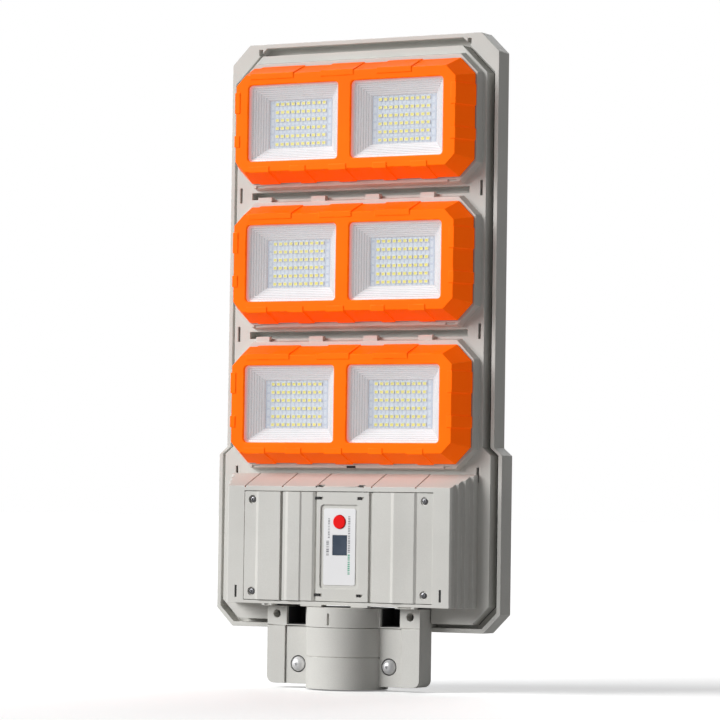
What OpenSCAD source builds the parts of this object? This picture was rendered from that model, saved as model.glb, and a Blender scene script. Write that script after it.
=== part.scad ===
// Solar street lamp head: a slab with a solar panel on its back and three lamp
// modules on its front, a control box under them, and a clamp socket for an arm.
// Millimetres. The origin is the centre of the socket's mouth, +Z runs up the
// socket's axis to the lamp's tip, and the lamp shines towards -Y.

/* [Panel slab] */
// Width of the slab that carries the solar panel
slab_w = 240; // [230:1:300]
// Height of the lamp's tip above the socket's mouth
slab_top = 512.5; // [500:0.5:640]
// Depth of the rear tray, from its rim to its back
slab_depth = 18; // [17:0.5:24]
// Cut at the slab's top corners
slab_cut = 15.6; // [10:0.2:20]
// Thickness of the rim around the tray
rim_wall = 3.5; // [2.5:0.1:5]
// Height of the base's lower edge above the mouth
base_bottom = 45.5; // [44:0.5:56]
// How far the base stands out past the slab on each side
base_flare = 7; // [3:0.5:14]
// Cut at the base's bottom corners
base_cut = 14.5; // [8:0.5:20]
// Distance of the rim plane behind the socket's axis
rim_y = 12; // [11:0.5:14]

/* [Solar panel] */
// Border of the tray that shows around the panel
panel_border = 8; // [6:0.5:14]
// Thickness of the panel's glass
glass_t = 3.2; // [2:0.1:4]
// Solar cells across the panel
cell_columns = 4; // [2:1:6]
// Solar cells up the panel
cell_rows = 8; // [4:1:10]

/* [Front housing] */
// Wall thickness of the moulded shells
sheet = 2.5; // [2:0.1:3]
// Open groove between the rim and the housing's sides
groove_side = 4.5; // [2:0.1:6]
// Open groove between the rim and the housing's top
groove_top = 6.6; // [3:0.1:9]
// How far the housing's plate stands in front of the rim
plate_rise = 4; // [3:0.1:5]
// How far the module seats stand in front of the rim
seat_rise = 11; // [10:0.1:13]
// Height of the channel between two seats
channel_h = 8.1; // [6:0.1:14]

/* [Lamp modules] */
// How far the module's face stands in front of the rim
bezel_rise = 31; // [29:0.5:36]
// Slope of the bezel's sides, measured across
bezel_draft = 8; // [4:0.5:9]
// Wall thickness of the bezel
bezel_wall = 2.5; // [2:0.1:3]
// Bar between the two windows of a module
mullion = 11.6; // [8:0.2:20]
// Flat border beside the windows
band_x = 10.85; // [8:0.05:14]
// Flat border over and under the windows
band_z = 8.1; // [6:0.1:10]
// Thickness of the clear window sheet
lens_t = 1.5; // [1:0.1:2]
// Chips across one board
chip_columns = 10; // [6:1:10]
// Chips up one board
chip_rows = 6; // [3:1:6]

/* [Control box] */
// How far the box's face stands in front of the rim
box_rise = 32; // [30:0.5:38]
// Height of the box's flat face
box_face_h = 92.5; // [90:0.5:120]
// Height of the sloped top of the box
slope_h = 10.5; // [8:0.5:16]
// Thickness of the box's cover
cover_t = 2.5; // [2:0.1:3]
// Radius of the round power button
button_r = 5.3; // [4:0.1:7]
// Travel of the power button
button_travel = 1; // [0.5:0.1:1]
// Radius of a battery cell
battery_r = 13; // [9:0.1:13]
// Length of a battery cell
battery_len = 65.5; // [50:0.5:66]

/* [Arm socket] */
// Radius of the arm socket's bore
bore_r = 26; // [22:0.1:26.5]
// Wall of the socket's tube
tube_wall = 6.3; // [5:0.1:9]
// Height of the loose front half of the clamp
cap_h = 47.7; // [38:0.1:50]
// Radius of the clamp screws' shanks
clamp_shank_r = 3; // [2.5:0.1:4]
// Travel of the clamp's front half when its screws are undone
clamp_travel = 5; // [2:0.5:6]

/* [Hidden] */

$fn = 48;
eps = 0.01;
// clearance between parts that must pass each other
gap = 0.3;
// radial clearance of a shank in a nut
thread_gap = 0.05;

// levels behind the rim plane
floor_t = 3;
backsheet_t = 0.5;
cell_t = 0.3;
ribbon_t = 0.15;
panel_sink = 1.25;
recess_y = slab_depth - panel_sink - glass_t - ribbon_t - cell_t - backsheet_t;
floor_y = recess_y - floor_t;
seal_t = 1;
cells_y = recess_y + backsheet_t;
ribbons_y = cells_y + cell_t;
glass_y = ribbons_y + ribbon_t;

// heights
box_lift = 19.5;
low_tab_h = 1.4;
box_bottom = base_bottom + box_lift;
box_face_top = box_bottom + box_face_h;
box_top = box_face_top + slope_h;
base_top = box_top + 15;
flare_h = 6;
seat_gap = 2.6;
top_margin = 15.5;
stack_bottom = box_top + seat_gap;
stack_top = slab_top - top_margin;
seat_h = (stack_top - stack_bottom - 2 * channel_h) / 3;
function module_z(i) = stack_bottom + seat_h / 2 + i * (seat_h + channel_h);

// tray and housing
cavity_cut = 28;
house_side = rim_wall + groove_side;
house_top_inset = rim_wall + groove_top;
house_bottom_inset = 6.5;
house_cut = 22;
skirt_t = 2.5;
skirt_back = floor_y - seal_t;
seat_w = slab_w - 2 * house_side - 6;
seat_cut = 16;
seat_draft = 2;
trench_wall = 1.3;
trench_depth = 8;
tab_w = 12.5;
tab_h = 2.6;
tab_x = [-83.2, -34.4, 14.4, 63.2];
slot_w = 2;
slot_h = 12;

// solar panel
panel_w = slab_w - 2 * panel_border;
panel_gap = 1.5;
panel_bottom = box_bottom + 5.5;
panel_top = slab_top - panel_border;
panel_cut = 14;
cell_margin = 6;
cell_space = 1.2;
cell_w = (panel_w - 2 * cell_margin - (cell_columns - 1) * cell_space) / cell_columns;
cell_h = (panel_top - panel_bottom - 2 * cell_margin - (cell_rows - 1) * cell_space) / cell_rows;

// lamp modules
bezel_w = seat_w - 6;
bezel_h = seat_h - 10.4;
bezel_cut = 13;
bezel_back = -seat_rise - seal_t;
bezel_front = -bezel_rise;
pad_t = 0.8;
pad_reach = 3.6;
window_w = (bezel_w - 2 * bezel_draft - 2 * band_x - mullion) / 2;
window_h = bezel_h - 2 * bezel_draft - 2 * band_z;
window_r = 3;
window_x = (mullion + window_w) / 2;
lens_front = bezel_front + bezel_wall;
lens_margin_x = 8;
lens_margin_z = 8;
lens_w = bezel_w - 2 * bezel_draft - lens_margin_x;
lens_h = bezel_h - 2 * bezel_draft - lens_margin_z;
lens_cut = 7;
reflector_front = lens_front + lens_t;
reflector_t = 1.5;
well_rim = 1.5;
well_w = window_w - 2 * well_rim;
well_h = window_h - 2 * well_rim;
board_inset_x = 10.9;
board_inset_z = 10;
board_w = well_w - 2 * board_inset_x;
board_h = well_h - 2 * board_inset_z;
board_t = 1.6;
well_depth = 10;
board_front = reflector_front + well_depth;
board_lap = 2;
chip_margin_x = 7;
chip_margin_z = 2.9;
chip_w = 3.5;
chip_h = 2.8;
chip_t = 0.7;
post_r = 3.5;
post_len = 9;
pilot_r = 1.5;
bezel_post_x = 60;
bezel_post_z = bezel_h / 2 - 8.5;

// small screws, as [shank radius, head radius, head height]
small_screw = [1.5, 2.9, 1.7];
board_screw = [1, 2, 1.3];
cover_screw = [1.5, 2.4, 1.1];
screw_fit = 0.05;
screw_len = 9;
hole_fit = 0.3;

// control box
box_back_w = slab_w + 2 * base_flare - 2 * house_side - 21;
box_front_w = box_back_w - 17;
slope_foot = 8;
cover_w = box_front_w - 33;
cover_low = box_bottom + 3;
cover_high = box_face_top - 4.3;
cover_gap = 0.5;
land_w = 5.5;
land_t = 2.5;
cover_back = -box_rise + cover_t;
land_front = cover_back + seal_t;
screw_in_x = 7;
screw_in_z = 6.4;
cover_screw_x = cover_w / 2 - screw_in_x;
cover_screw_z = [cover_low + screw_in_z, cover_high - screw_in_z];
boss_r = 4;
panel_x = 4.5;
strip_w = 14.5;
board_x = panel_x - 2;
clip_x = 18;
clip_half = 2.8;
label_panel_w = 47;
label_recess = [34, 65.6];
label_size = [28.3, 59.8];
label_x = 2;
label_z = (cover_low + cover_high) / 2;
recess_d = 1.2;
label_t = 0.5;
button_x = 1.8;
button_z = label_z + 19.4;
flange_r = 6.6;
flange_t = 0.8;
sensor_size = [12.8, 15.7];
sensor_x = 2.2;
sensor_z = label_z + 1.3;
board_size = [46, 70];
standoff = 4.8;
pcb_front = cover_back + standoff;
pcb_t = 1.6;
pcb_in = 3.5;
switch_h = standoff - button_travel - 1.8;

// battery
battery_count = 5;
battery_pitch = 2 * battery_r + 1.3;
battery_y = floor_y - 4.6 - battery_r;
battery_low = label_z - battery_len / 2;
strip_t = 0.3;
holder_t = 2;

// arm socket
tube_r = bore_r + tube_wall;
stop_t = 5;
socket_top = box_bottom - low_tab_h - gap;
wing_x = 51.3;
wing_front = -7;
split = 0.3;
cheek_in = 52;
cheek_out = 68;
socket_half = cheek_out + 2 * gap + 0.4;
cheek_front = -8.5;
cheek_back = rim_y - gap;
cheek_low = 2.5;
cheek_round = 6;
tray_notch = 36;
clamp_x = 40.5;
clamp_z = 18;
clamp_head_r = 5.8;
clamp_head_h = 5;
nut_r = 5.77;
nut_t = 5;
nut_front = 5;
window_floor = 14;
head_sink = 1.5;
screw_tip = nut_front + clamp_travel + 1;

// colours
housing_grey = [0.80, 0.79, 0.77];
bezel_orange = [1.0, 0.42, 0.05];
reflector_white = [0.94, 0.94, 0.95];
steel = [0.75, 0.76, 0.78];
rubber = [0.12, 0.12, 0.13];

// ---- drawing helpers -------------------------------------------------

// places what is drawn from the rim plane
module from_rim() {
    translate([0, rim_y, 0]) children();
}

// raises a flat (x, z) shape from y = front to y = back
module along_y(front, back) {
    translate([0, back, 0]) rotate([90, 0, 0]) linear_extrude(height = back - front) children();
}

// raises a flat (y, z) shape from x = left to x = right
module along_x(left, right) {
    translate([left, 0, 0]) rotate([90, 0, 90]) linear_extrude(height = right - left) children();
}

// box between two opposite corners
module block(low, high) {
    translate(low) cube(high - low);
}

// round bar along y
module rod(r, front, back) {
    along_y(front, back) circle(r);
}

module octagon(w, h, cut) {
    polygon([
        [-w / 2 + cut, h / 2], [w / 2 - cut, h / 2], [w / 2, h / 2 - cut], [w / 2, -h / 2 + cut],
        [w / 2 - cut, -h / 2], [-w / 2 + cut, -h / 2], [-w / 2, -h / 2 + cut], [-w / 2, h / 2 - cut]
    ]);
}

module rounded(w, h, r) {
    square([w - 2 * r, h], center = true);
    square([w, h - 2 * r], center = true);
    for (x = [-1, 1], z = [-1, 1])
        translate([x * (w / 2 - r), z * (h / 2 - r)]) circle(r, $fn = 24);
}

// endless bar whose width grows from front to back
module band(w, front, back, draft) {
    reach = 300;
    linear_extrude(height = reach, center = true)
        polygon([[-w / 2 + draft, front], [w / 2 - draft, front], [w / 2, back], [-w / 2, back]]);
}

// block with sloped sides; w and h are measured at its back
module slope_block(w, h, front, back, draft) {
    intersection() {
        band(w, front, back, draft);
        rotate([0, 90, 0]) band(h, front, back, draft);
    }
}

// the same with cut corners
module bevel_block(w, h, cut, front, back, draft) {
    across = (w + h - 2 * cut) / sqrt(2);
    intersection() {
        slope_block(w, h, front, back, draft);
        rotate([0, 45, 0]) band(across, front, back, draft);
        rotate([0, -45, 0]) band(across, front, back, draft);
    }
}

// pan-head screw that points from y = seat towards dir
module screw(size, seat, len, dir) {
    mirror([0, dir > 0 ? 0 : 1, 0]) translate([0, dir * seat, 0]) {
        difference() {
            rod(size[1], -size[2], 0);
            for (turn = [0, 90])
                rotate([0, turn, 0])
                    block([-size[1] * 0.6, -size[2] - eps, -0.35], [size[1] * 0.6, -size[2] / 2, 0.35]);
        }
        rod(size[0], -eps, len);
    }
}

// outline of the lamp, drawn in from its sides, top and bottom
function outline(side, top, bottom, cut_top, cut_bottom) =
    let(w = slab_w / 2 - side, b = w + base_flare, t = slab_top - top, u = base_bottom + bottom)
    let(half = [
        [w - cut_top, t], [w, t - cut_top], [w, base_top + flare_h],
        [b, base_top], [b, u + cut_bottom], [b - cut_bottom, u]
    ])
    concat(half, [for (i = [len(half) - 1:-1:0]) [-half[i][0], half[i][1]]]);

// ---- solar panel and rear tray ---------------------------------------

// places of the screws that hold the tray to the front housing
shell_post_x = seat_w / 2 - 9;
base_post_x = slab_w / 2 + base_flare - house_side - 9;
shell_posts = [
    for (side = [-1, 1], i = [0:2]) [side * shell_post_x, module_z(i) + 8, seat_rise],
    for (side = [-1, 1], z = [box_bottom + 10, box_top - 4]) [side * base_post_x, z, plate_rise]
];
shell_post_r = 4;

module panel_shape(grow) {
    w = panel_w / 2 + grow;
    low = panel_bottom - grow;
    high = panel_top + grow;
    cut = panel_cut;
    polygon([[-w, low], [w, low], [w, high - cut], [w - cut, high], [-w + cut, high], [-w, high - cut]]);
}

module rear_tray() {
    lead_hole = 4;
    gusset = 3;
    color(housing_grey) from_rim() difference() {
        along_y(0, slab_depth) polygon(outline(0, 0, 0, slab_cut, base_cut));
        along_y(-1, floor_y) polygon(outline(rim_wall, rim_wall, rim_wall, cavity_cut, base_cut - 2));
        along_y(recess_y, slab_depth + 1) panel_shape(panel_gap);
        block([-tray_notch, -1, base_bottom - 1], [tray_notch, slab_depth + 1, box_bottom + gap]);
        for (p = shell_posts) translate([p[0], 0, p[1]]) {
            rod(small_screw[0] + hole_fit, 0, slab_depth + 1);
            rod(small_screw[1] + hole_fit, recess_y - small_screw[2], slab_depth + 1);
        }
        for (x = [-1, 1] * socket_fix_x, dx = [0, 1] * socket_fix_step)
            translate([x + sign(x) * dx, 0, socket_fix_z]) rod(pilot_r + screw_fit, 0, recess_y + gap);
        block([-lead_hole, floor_y - 1, panel_top - 24], [lead_hole, slab_depth, panel_top - 16]);
        for (side = [-1, 1]) {
            translate([side * (slab_w / 2 - cavity_cut + 2), 0, slab_top - rim_wall - gusset])
                block([-1.6, -1, -2.4], [1.6, 5, 2.4]);
            translate([side * (slab_w / 2 - rim_wall - 6), 0, slab_top - cavity_cut - 1])
                block([-1.2, -1, -2], [1.2, 5, 2]);
        }
    }
}

module panel_backsheet() {
    color("white") from_rim() difference() {
        along_y(recess_y, cells_y) panel_shape(0);
        block([-3, recess_y - 1, panel_top - 23], [3, slab_depth, panel_top - 17]);
    }
}

module cell_grid() {
    for (i = [0:cell_columns - 1], j = [0:cell_rows - 1])
        translate([
            -panel_w / 2 + cell_margin + i * (cell_w + cell_space),
            panel_bottom + cell_margin + j * (cell_h + cell_space)
        ]) children();
}

module solar_cells() {
    color([0.08, 0.12, 0.30]) from_rim() along_y(cells_y, ribbons_y) intersection() {
        cell_grid() square([cell_w, cell_h]);
        panel_shape(-cell_margin + 0.6);
    }
}

module cell_ribbons() {
    ribbon_w = 1.6;
    color("silver") from_rim() along_y(ribbons_y, glass_y)
        for (i = [0:cell_columns - 1], part = [1, 3])
            translate([
                -panel_w / 2 + cell_margin + i * (cell_w + cell_space) + part * cell_w / 4 - ribbon_w / 2,
                panel_bottom + cell_margin / 2
            ]) square([ribbon_w, panel_top - panel_bottom - cell_margin - 2]);
}

module solar_glass() {
    color([0.6, 0.7, 0.8, 0.4]) from_rim() along_y(glass_y, glass_y + glass_t) panel_shape(0);
}

module panel_seal() {
    color(rubber) from_rim() along_y(recess_y, glass_y + glass_t) difference() {
        panel_shape(panel_gap);
        panel_shape(0);
    }
}

module panel_terminal() {
    color(rubber) from_rim()
        block([-14, floor_y - 6, panel_top - 30], [14, floor_y, panel_top - 12]);
}

// ---- front housing ---------------------------------------------------

function house(inset) =
    outline(house_side + inset, house_top_inset + inset, house_bottom_inset + inset, house_cut, base_cut);

module at_module(i) {
    translate([0, 0, module_z(i)]) children();
}

module front_housing() {
    plate_back = -plate_rise + sheet;
    trench_w = seat_w - 20;
    slot_x = seat_w / 2 - 1;
    color(housing_grey) from_rim() difference() {
        union() {
            difference() {
                union() {
                    along_y(-plate_rise, plate_back) polygon(house(0));
                    along_y(plate_back - eps, skirt_back) difference() {
                        polygon(house(0));
                        polygon(house(skirt_t));
                    }
                    for (i = [0:2]) at_module(i)
                        bevel_block(seat_w, seat_h, seat_cut, -seat_rise, plate_back, seat_draft);
                }
                for (i = [0:2]) at_module(i) bevel_block(
                    seat_w - 2 * sheet, seat_h - 2 * sheet, seat_cut - 1.5,
                    -seat_rise + sheet, plate_back + 1, seat_draft);
            }
            // raised pads that carry the boards
            for (i = [0:2], side = [-1, 1]) at_module(i) translate([side * window_x, 0, 0])
                block([-board_w / 2, board_front + board_t, -board_h / 2],
                      [board_w / 2, -seat_rise + eps, board_h / 2]);
            // troughs between the seats
            for (i = [0:1]) at_module(i) translate([0, 0, (seat_h + channel_h) / 2])
                block([-trench_w / 2, -plate_rise, -channel_h / 2],
                      [trench_w / 2, plate_back + trench_depth, channel_h / 2]);
            // clip tabs on the upper edge of the lower seats
            for (i = [0:1], x = tab_x) at_module(i)
                translate([x, 0, seat_h / 2])
                    block([-tab_w / 2, -seat_rise + 2.2, -2], [tab_w / 2, -plate_rise, tab_h]);
            for (p = shell_posts) translate([p[0], 0, p[1]])
                rod(shell_post_r, -p[2] + sheet - eps, floor_y - gap);
        }
        for (i = [0:1]) at_module(i) translate([0, 0, (seat_h + channel_h) / 2])
            difference() {
                block([-trench_w / 2 + trench_wall, -plate_rise - 1, -channel_h / 2 + trench_wall],
                      [trench_w / 2 - trench_wall, plate_back + trench_depth - trench_wall,
                       channel_h / 2 - trench_wall]);
                for (x = tab_x) translate([x, 0, -channel_h / 2])
                    block([-tab_w / 2, -seat_rise, -1], [tab_w / 2, -plate_rise, tab_h]);
            }
        for (i = [0:2], side = [-1, 1]) at_module(i) {
            translate([side * slot_x, 0, -seat_h / 2 - channel_h / 2 + 1])
                block([-slot_w / 2, -seat_rise, -slot_h / 2], [slot_w / 2, plate_back + 1, slot_h / 2]);
            translate([side * window_x, 0, 0])
                block([-4, board_front, -4], [4, 0, 4]);
            translate([side * (bezel_w / 2 - 20), 0, -bezel_h / 2 - 2.4])
                block([-4, -seat_rise - 1, -0.9], [4, -seat_rise + 1.5, 0.9]);
        }
        at_module(0) translate([0, 0, -bezel_h / 2 - 2.6])
            block([-4, -seat_rise - 1, -1], [4, -seat_rise + 1.5, 1]);
        for (i = [0:2]) at_module(i) bezel_screw_places()
            rod(small_screw[0] + hole_fit, -seat_rise - 1, 0);
        for (p = shell_posts) translate([p[0], 0, p[1]])
            rod(pilot_r + screw_fit, floor_y - screw_len, floor_y);
        // opening behind the control box, and the notch for the socket
        block([-box_front_w / 2 + 8, -plate_rise - 1, box_bottom + 7],
              [box_front_w / 2 - 8, skirt_back + 1, box_face_top + 2]);
        block([-socket_half, -plate_rise - 1, base_bottom],
              [socket_half, skirt_back + 1, box_bottom + 1]);
        for (p = box_fix) translate([p[0], 0, p[1]])
            rod(small_screw[0] + hole_fit, -plate_rise - 1, 0);
    }
}

module housing_seal() {
    color(rubber) from_rim() difference() {
        along_y(skirt_back, floor_y) difference() {
            polygon(house(0));
            polygon(house(skirt_t));
        }
        block([-socket_half, skirt_back - 1, base_bottom], [socket_half, floor_y + 1, box_bottom + 1]);
    }
}

module shell_screws() {
    color(steel) from_rim() for (p = shell_posts) translate([p[0], 0, p[1]])
        screw(small_screw, recess_y - small_screw[2], screw_len, -1);
}

// ---- lamp modules ----------------------------------------------------

module bezel_screw_places() {
    for (x = [-1, 1] * bezel_post_x, z = [-1, 1] * bezel_post_z) translate([x, 0, z]) children();
}

module bezel(i) {
    top_pads = [[-85, -46], [-21, 8], [29, 59.5]];
    low_pads = [[-85.5, -67], [-48, -34], [-13, 2.5], [26.5, 38.5], [60, 74]];
    side_pads = [[-18.5, -9.5], [8.5, 25]];
    pad_x = bezel_w / 2 - bezel_draft - pad_reach;
    pad_z = bezel_h / 2 - bezel_draft - pad_reach;
    deep = 1;
    color(bezel_orange) from_rim() at_module(i) {
        difference() {
            union() {
                bevel_block(bezel_w, bezel_h, bezel_cut, bezel_front, bezel_back, bezel_draft);
                // shallow pads on the sloped sides, which reach a little onto the front
                intersection() {
                    bevel_block(bezel_w + 2 * pad_t, bezel_h + 2 * pad_t, bezel_cut,
                                bezel_front - pad_t, bezel_back, bezel_draft);
                    union() {
                        for (x = top_pads) block([x[0], -99, pad_z], [x[1], -seat_rise, 99]);
                        for (x = low_pads) block([x[0], -99, -99], [x[1], -seat_rise, -pad_z]);
                        for (side = [-1, 1], z = side_pads) mirror([side > 0 ? 0 : 1, 0, 0])
                            block([pad_x, -99, z[0]], [199, -seat_rise, z[1]]);
                    }
                }
            }
            intersection() {
                bevel_block(bezel_w - 2 * bezel_wall, bezel_h - 2 * bezel_wall, bezel_cut - 1.4,
                            bezel_front, bezel_back, bezel_draft);
                block([-bezel_w, lens_front, -bezel_h], [bezel_w, bezel_back + 1, bezel_h]);
            }
            block([-bezel_w, bezel_back - eps, -bezel_h], [bezel_w, bezel_back + deep, bezel_h]);
            for (side = [-1, 1]) translate([side * window_x, 0, 0])
                along_y(bezel_front - 1, lens_front + 1) rounded(window_w, window_h, window_r);
        }
        bezel_screw_places() difference() {
            rod(post_r, bezel_back - post_len, bezel_back - eps);
            rod(pilot_r + screw_fit, bezel_back - post_len + 1.5, bezel_back + 1);
        }
    }
}

module lens(i) {
    color([0.85, 0.93, 0.97, 0.35]) from_rim() at_module(i)
        along_y(lens_front, lens_front + lens_t) octagon(lens_w, lens_h, lens_cut);
}

module reflector(i) {
    color(reflector_white) from_rim() at_module(i) difference() {
        union() {
            along_y(reflector_front, reflector_front + reflector_t) octagon(lens_w - 2, lens_h - 2, lens_cut);
            for (side = [-1, 1]) translate([side * window_x, 0, 0]) mirror([0, 1, 0])
                well(2 * reflector_t, -board_front, -reflector_front);
        }
        for (side = [-1, 1]) translate([side * window_x, 0, 0]) mirror([0, 1, 0]) {
            well(0, -board_front, -reflector_front);
            block([-board_w / 2 + board_lap, -board_front - 1, -board_h / 2 + board_lap],
                  [board_w / 2 - board_lap, -board_front + 1, board_h / 2 - board_lap]);
        }
    }
}

// one light well: wide at y = back, narrow at y = front
module well(grow, front, back) {
    intersection() {
        linear_extrude(height = 200, center = true) polygon(well_side(well_w, board_w, grow, front, back));
        rotate([0, 90, 0]) linear_extrude(height = 200, center = true)
            polygon(well_side(well_h, board_h, grow, front, back));
    }
}

function well_side(wide, narrow, grow, front, back) = [
    [-narrow / 2 - grow / 2, front], [narrow / 2 + grow / 2, front],
    [wide / 2 + grow / 2, back], [-wide / 2 - grow / 2, back]
];

module led_board(i) {
    color([0.80, 0.86, 0.92]) from_rim() at_module(i) for (side = [-1, 1])
        translate([side * window_x, 0, 0])
            along_y(board_front, board_front + board_t) square([board_w, board_h], center = true);
}

module led_chips(i) {
    step_x = (board_w - 2 * chip_margin_x) / (chip_columns - 1);
    step_z = (board_h - 2 * chip_margin_z) / (chip_rows - 1);
    color([0.98, 0.93, 0.55]) from_rim() at_module(i)
        for (side = [-1, 1], a = [0:chip_columns - 1], b = [0:chip_rows - 1])
            translate([
                side * window_x - board_w / 2 + chip_margin_x + a * step_x,
                board_front - chip_t,
                -board_h / 2 + chip_margin_z + b * step_z
            ]) translate([-chip_w / 2, 0, -chip_h / 2]) cube([chip_w, chip_t, chip_h]);
}

module gasket(i) {
    lip = bezel_wall + 1;
    color(rubber) from_rim() at_module(i) along_y(bezel_back, -seat_rise) difference() {
        octagon(bezel_w - 1, bezel_h - 1, bezel_cut);
        octagon(bezel_w - 1 - 2 * lip, bezel_h - 1 - 2 * lip, bezel_cut - 2);
    }
}

module bezel_screws() {
    color(steel) from_rim() for (i = [0:2]) at_module(i) bezel_screw_places()
        screw(small_screw, -seat_rise + sheet, screw_len, -1);
}

// ---- control box -----------------------------------------------------

// side view of the box, as (y, z); its hollow starts behind the cover's seat
function box_side(wall, front) = [
    [-plate_rise + (wall > 0 ? 1 : 0), box_bottom + wall],
    [front, box_bottom + wall],
    [front, box_face_top - wall / 3],
    [-slope_foot, box_top - wall],
    [-plate_rise + (wall > 0 ? 1 : 0), box_top - wall]
];

// the box seen from above, as (x, y), with its fluted sides
function box_plan() =
    let(w = box_front_w / 2, r = -box_rise)
    let(half = [
        [w - 1.5, r], [w, r + 1.5], [w, r + 6], [w + 2.6, r + 7], [w + 2.6, r + 12.5],
        [w + 5.4, r + 13.5], [w + 5.4, r + 20], [w + 8.5, r + 21], [w + 8.5, -plate_rise]
    ])
    concat(half, [for (i = [len(half) - 1:-1:0]) [-half[i][0], half[i][1]]]);

// where the box is screwed to the plate behind it
box_fix_x = box_front_w / 2 - 4;
box_fix = [for (side = [-1, 1], z = [box_bottom + 12, box_face_top - 8]) [side * box_fix_x, z]];

// fine groove across the sloped top
module box_groove(x) {
    run = box_rise - slope_foot;
    len = sqrt(run * run + slope_h * slope_h);
    translate([x, -box_rise, box_face_top]) rotate([atan2(slope_h, run), 0, 0])
        block([-0.6, -2, -1.1], [0.6, len + 3, 1]);
}

module control_box() {
    half = slab_w;
    low_tabs = [[-67, -58], [-32, -13], [13, 28], [52, 69]];
    color(housing_grey) from_rim() difference() {
        union() {
            difference() {
                intersection() {
                    along_x(-half, half) polygon(box_side(0, -box_rise));
                    translate([0, 0, box_bottom - 1]) linear_extrude(height = box_face_h + slope_h + 2)
                        polygon(box_plan());
                }
                along_x(-box_front_w / 2 + sheet, box_front_w / 2 - sheet)
                    polygon(box_side(sheet, land_front + land_t));
            }
            for (p = box_fix) translate([p[0], 0, p[1]]) rod(boss_r, -plate_rise - 9, -plate_rise);
            for (x = [-1, 1] * cover_screw_x, z = cover_screw_z) translate([x, 0, z])
                rod(boss_r, land_front, land_front + 14);
            for (t = low_tabs)
                block([t[0], -box_rise, box_bottom - low_tab_h], [t[1], -box_rise + 6, box_bottom + eps]);
        }
        // seat of the cover and the hole inside it
        along_y(-box_rise - 9, land_front) cover_shape(cover_gap);
        along_y(-box_rise - 9, land_front + land_t + eps) difference() {
            cover_shape(-land_w);
            for (x = [-1, 1] * cover_screw_x, z = cover_screw_z) translate([x, z])
                square(2 * boss_r + 1, center = true);
        }
        for (x = [-1, 1] * cover_screw_x, z = cover_screw_z) translate([x, 0, z])
            rod(pilot_r + screw_fit, land_front - 1, land_front + 10);
        for (p = box_fix) translate([p[0], 0, p[1]]) rod(pilot_r + screw_fit, -plate_rise - 8, 0);
        for (x = concat(cover_lines(), [-cover_w / 2, cover_w / 2 - strip_w])) box_groove(x);
        // slots of the side panels, the sloped top and the lower tabs
        for (x = [-1, 1] * (box_front_w / 2 - 9))
            block([x - 0.9, -box_rise - 1, box_bottom + 4.5], [x + 0.9, -box_rise + 2, box_bottom + 14]);
        for (x = [-1, 1] * clip_x)
            block([board_x + x - clip_half, -box_rise, box_face_top - 0.4],
                  [board_x + x + clip_half, -box_rise + 4.5, box_face_top + 1.4]);
        for (t = [low_tabs[0], low_tabs[3]])
            block([t[0] + 2.5, -box_rise - 1, box_bottom - 0.9], [t[1] - 2.5, -box_rise + 2, box_bottom]);
    }
}

// the front view of the cover, grown by a margin
module cover_shape(grow) {
    translate([-cover_w / 2 - grow, cover_low - grow])
        square([cover_w + 2 * grow, cover_high - cover_low + 2 * grow]);
}

// x of the grooves that run down the cover
function cover_lines() = [-cover_w / 2 + 34, panel_x - label_panel_w / 2, panel_x + label_panel_w / 2 + 2];

// the cover seen from above, as (x, relief in front of the box's face)
function cover_plan() =
    let(left = -cover_w / 2, right = cover_w / 2, lines = cover_lines())
    let(a = lines[0], b = lines[1], c = lines[2], strip = right - strip_w, groove = -1.7)
    [
        [left, 0.2], [left + 10.5, 0.2], [left + 13.3, 1.7], [a - 1.2, 1.3], [a - 1.2, groove],
        [a + 0.6, groove], [a + 0.6, 0.2], [a + 3.2, 0.2], [a + 6, 1.8], [a + 16.5, 1.6],
        [a + 17.8, 0.7], [b - 3, 0.3], [b - 1, -0.9], [b - 1, groove],
        [b + 0.8, groove], [b + 0.8, 0], [c - 2, 0], [c - 2, groove],
        [c + 2, groove], [c + 2, 0.3], [c + 18, 0.6], [c + 20.6, 2], [c + 22, 2],
        [c + 30, 1], [strip - 1, 0.8], [strip + 1, -0.5], [right, -1.3]
    ];

module box_cover() {
    clip_z = (cover_high - cover_low) / 2 - 4.8;
    front = [for (p = cover_plan()) [p[0], -box_rise - p[1]]];
    color(housing_grey) from_rim() difference() {
        union() {
            translate([0, 0, cover_low]) linear_extrude(height = cover_high - cover_low)
                polygon(concat(front, [[cover_w / 2, cover_back], [-cover_w / 2, cover_back]]));
            board_posts() rod(2.5, cover_back - eps, pcb_front);
        }
        translate([label_x, 0, label_z])
            along_y(-box_rise - 1, -box_rise + recess_d) rounded(label_recess[0], label_recess[1], 3);
        translate([button_x, 0, button_z]) rod(button_r + gap, -box_rise - 1, cover_back + 1);
        translate([sensor_x, 0, sensor_z])
            along_y(-box_rise - 1, cover_back + 1)
                square([sensor_size[0] + 0.2, sensor_size[1] + 0.2], center = true);
        for (x = [-1, 1] * cover_screw_x, z = cover_screw_z) translate([x, 0, z]) {
            rod(cover_screw[0] + hole_fit, -box_rise - 3, cover_back + 1);
            rod(cover_screw[1] + 1, -box_rise - 3, cover_back - 1);
        }
        for (x = [-1, 1] * clip_x, z = [-1, 1] * clip_z) translate([board_x + x, 0, label_z + z])
            block([-clip_half, -box_rise - 1, -1.1], [clip_half, cover_back - 0.6, 1.1]);
        board_posts() rod(board_screw[0] + screw_fit, pcb_front - 4, pcb_front + 1);
    }
}

module cover_seal() {
    color(rubber) from_rim() along_y(cover_back, land_front) difference() {
        cover_shape(-0.5);
        cover_shape(-2.5);
    }
}

module cover_screws() {
    color(steel) from_rim() for (x = [-1, 1] * cover_screw_x, z = cover_screw_z)
        translate([x, 0, z]) screw(cover_screw, cover_back - 1, 10, 1);
}

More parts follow.
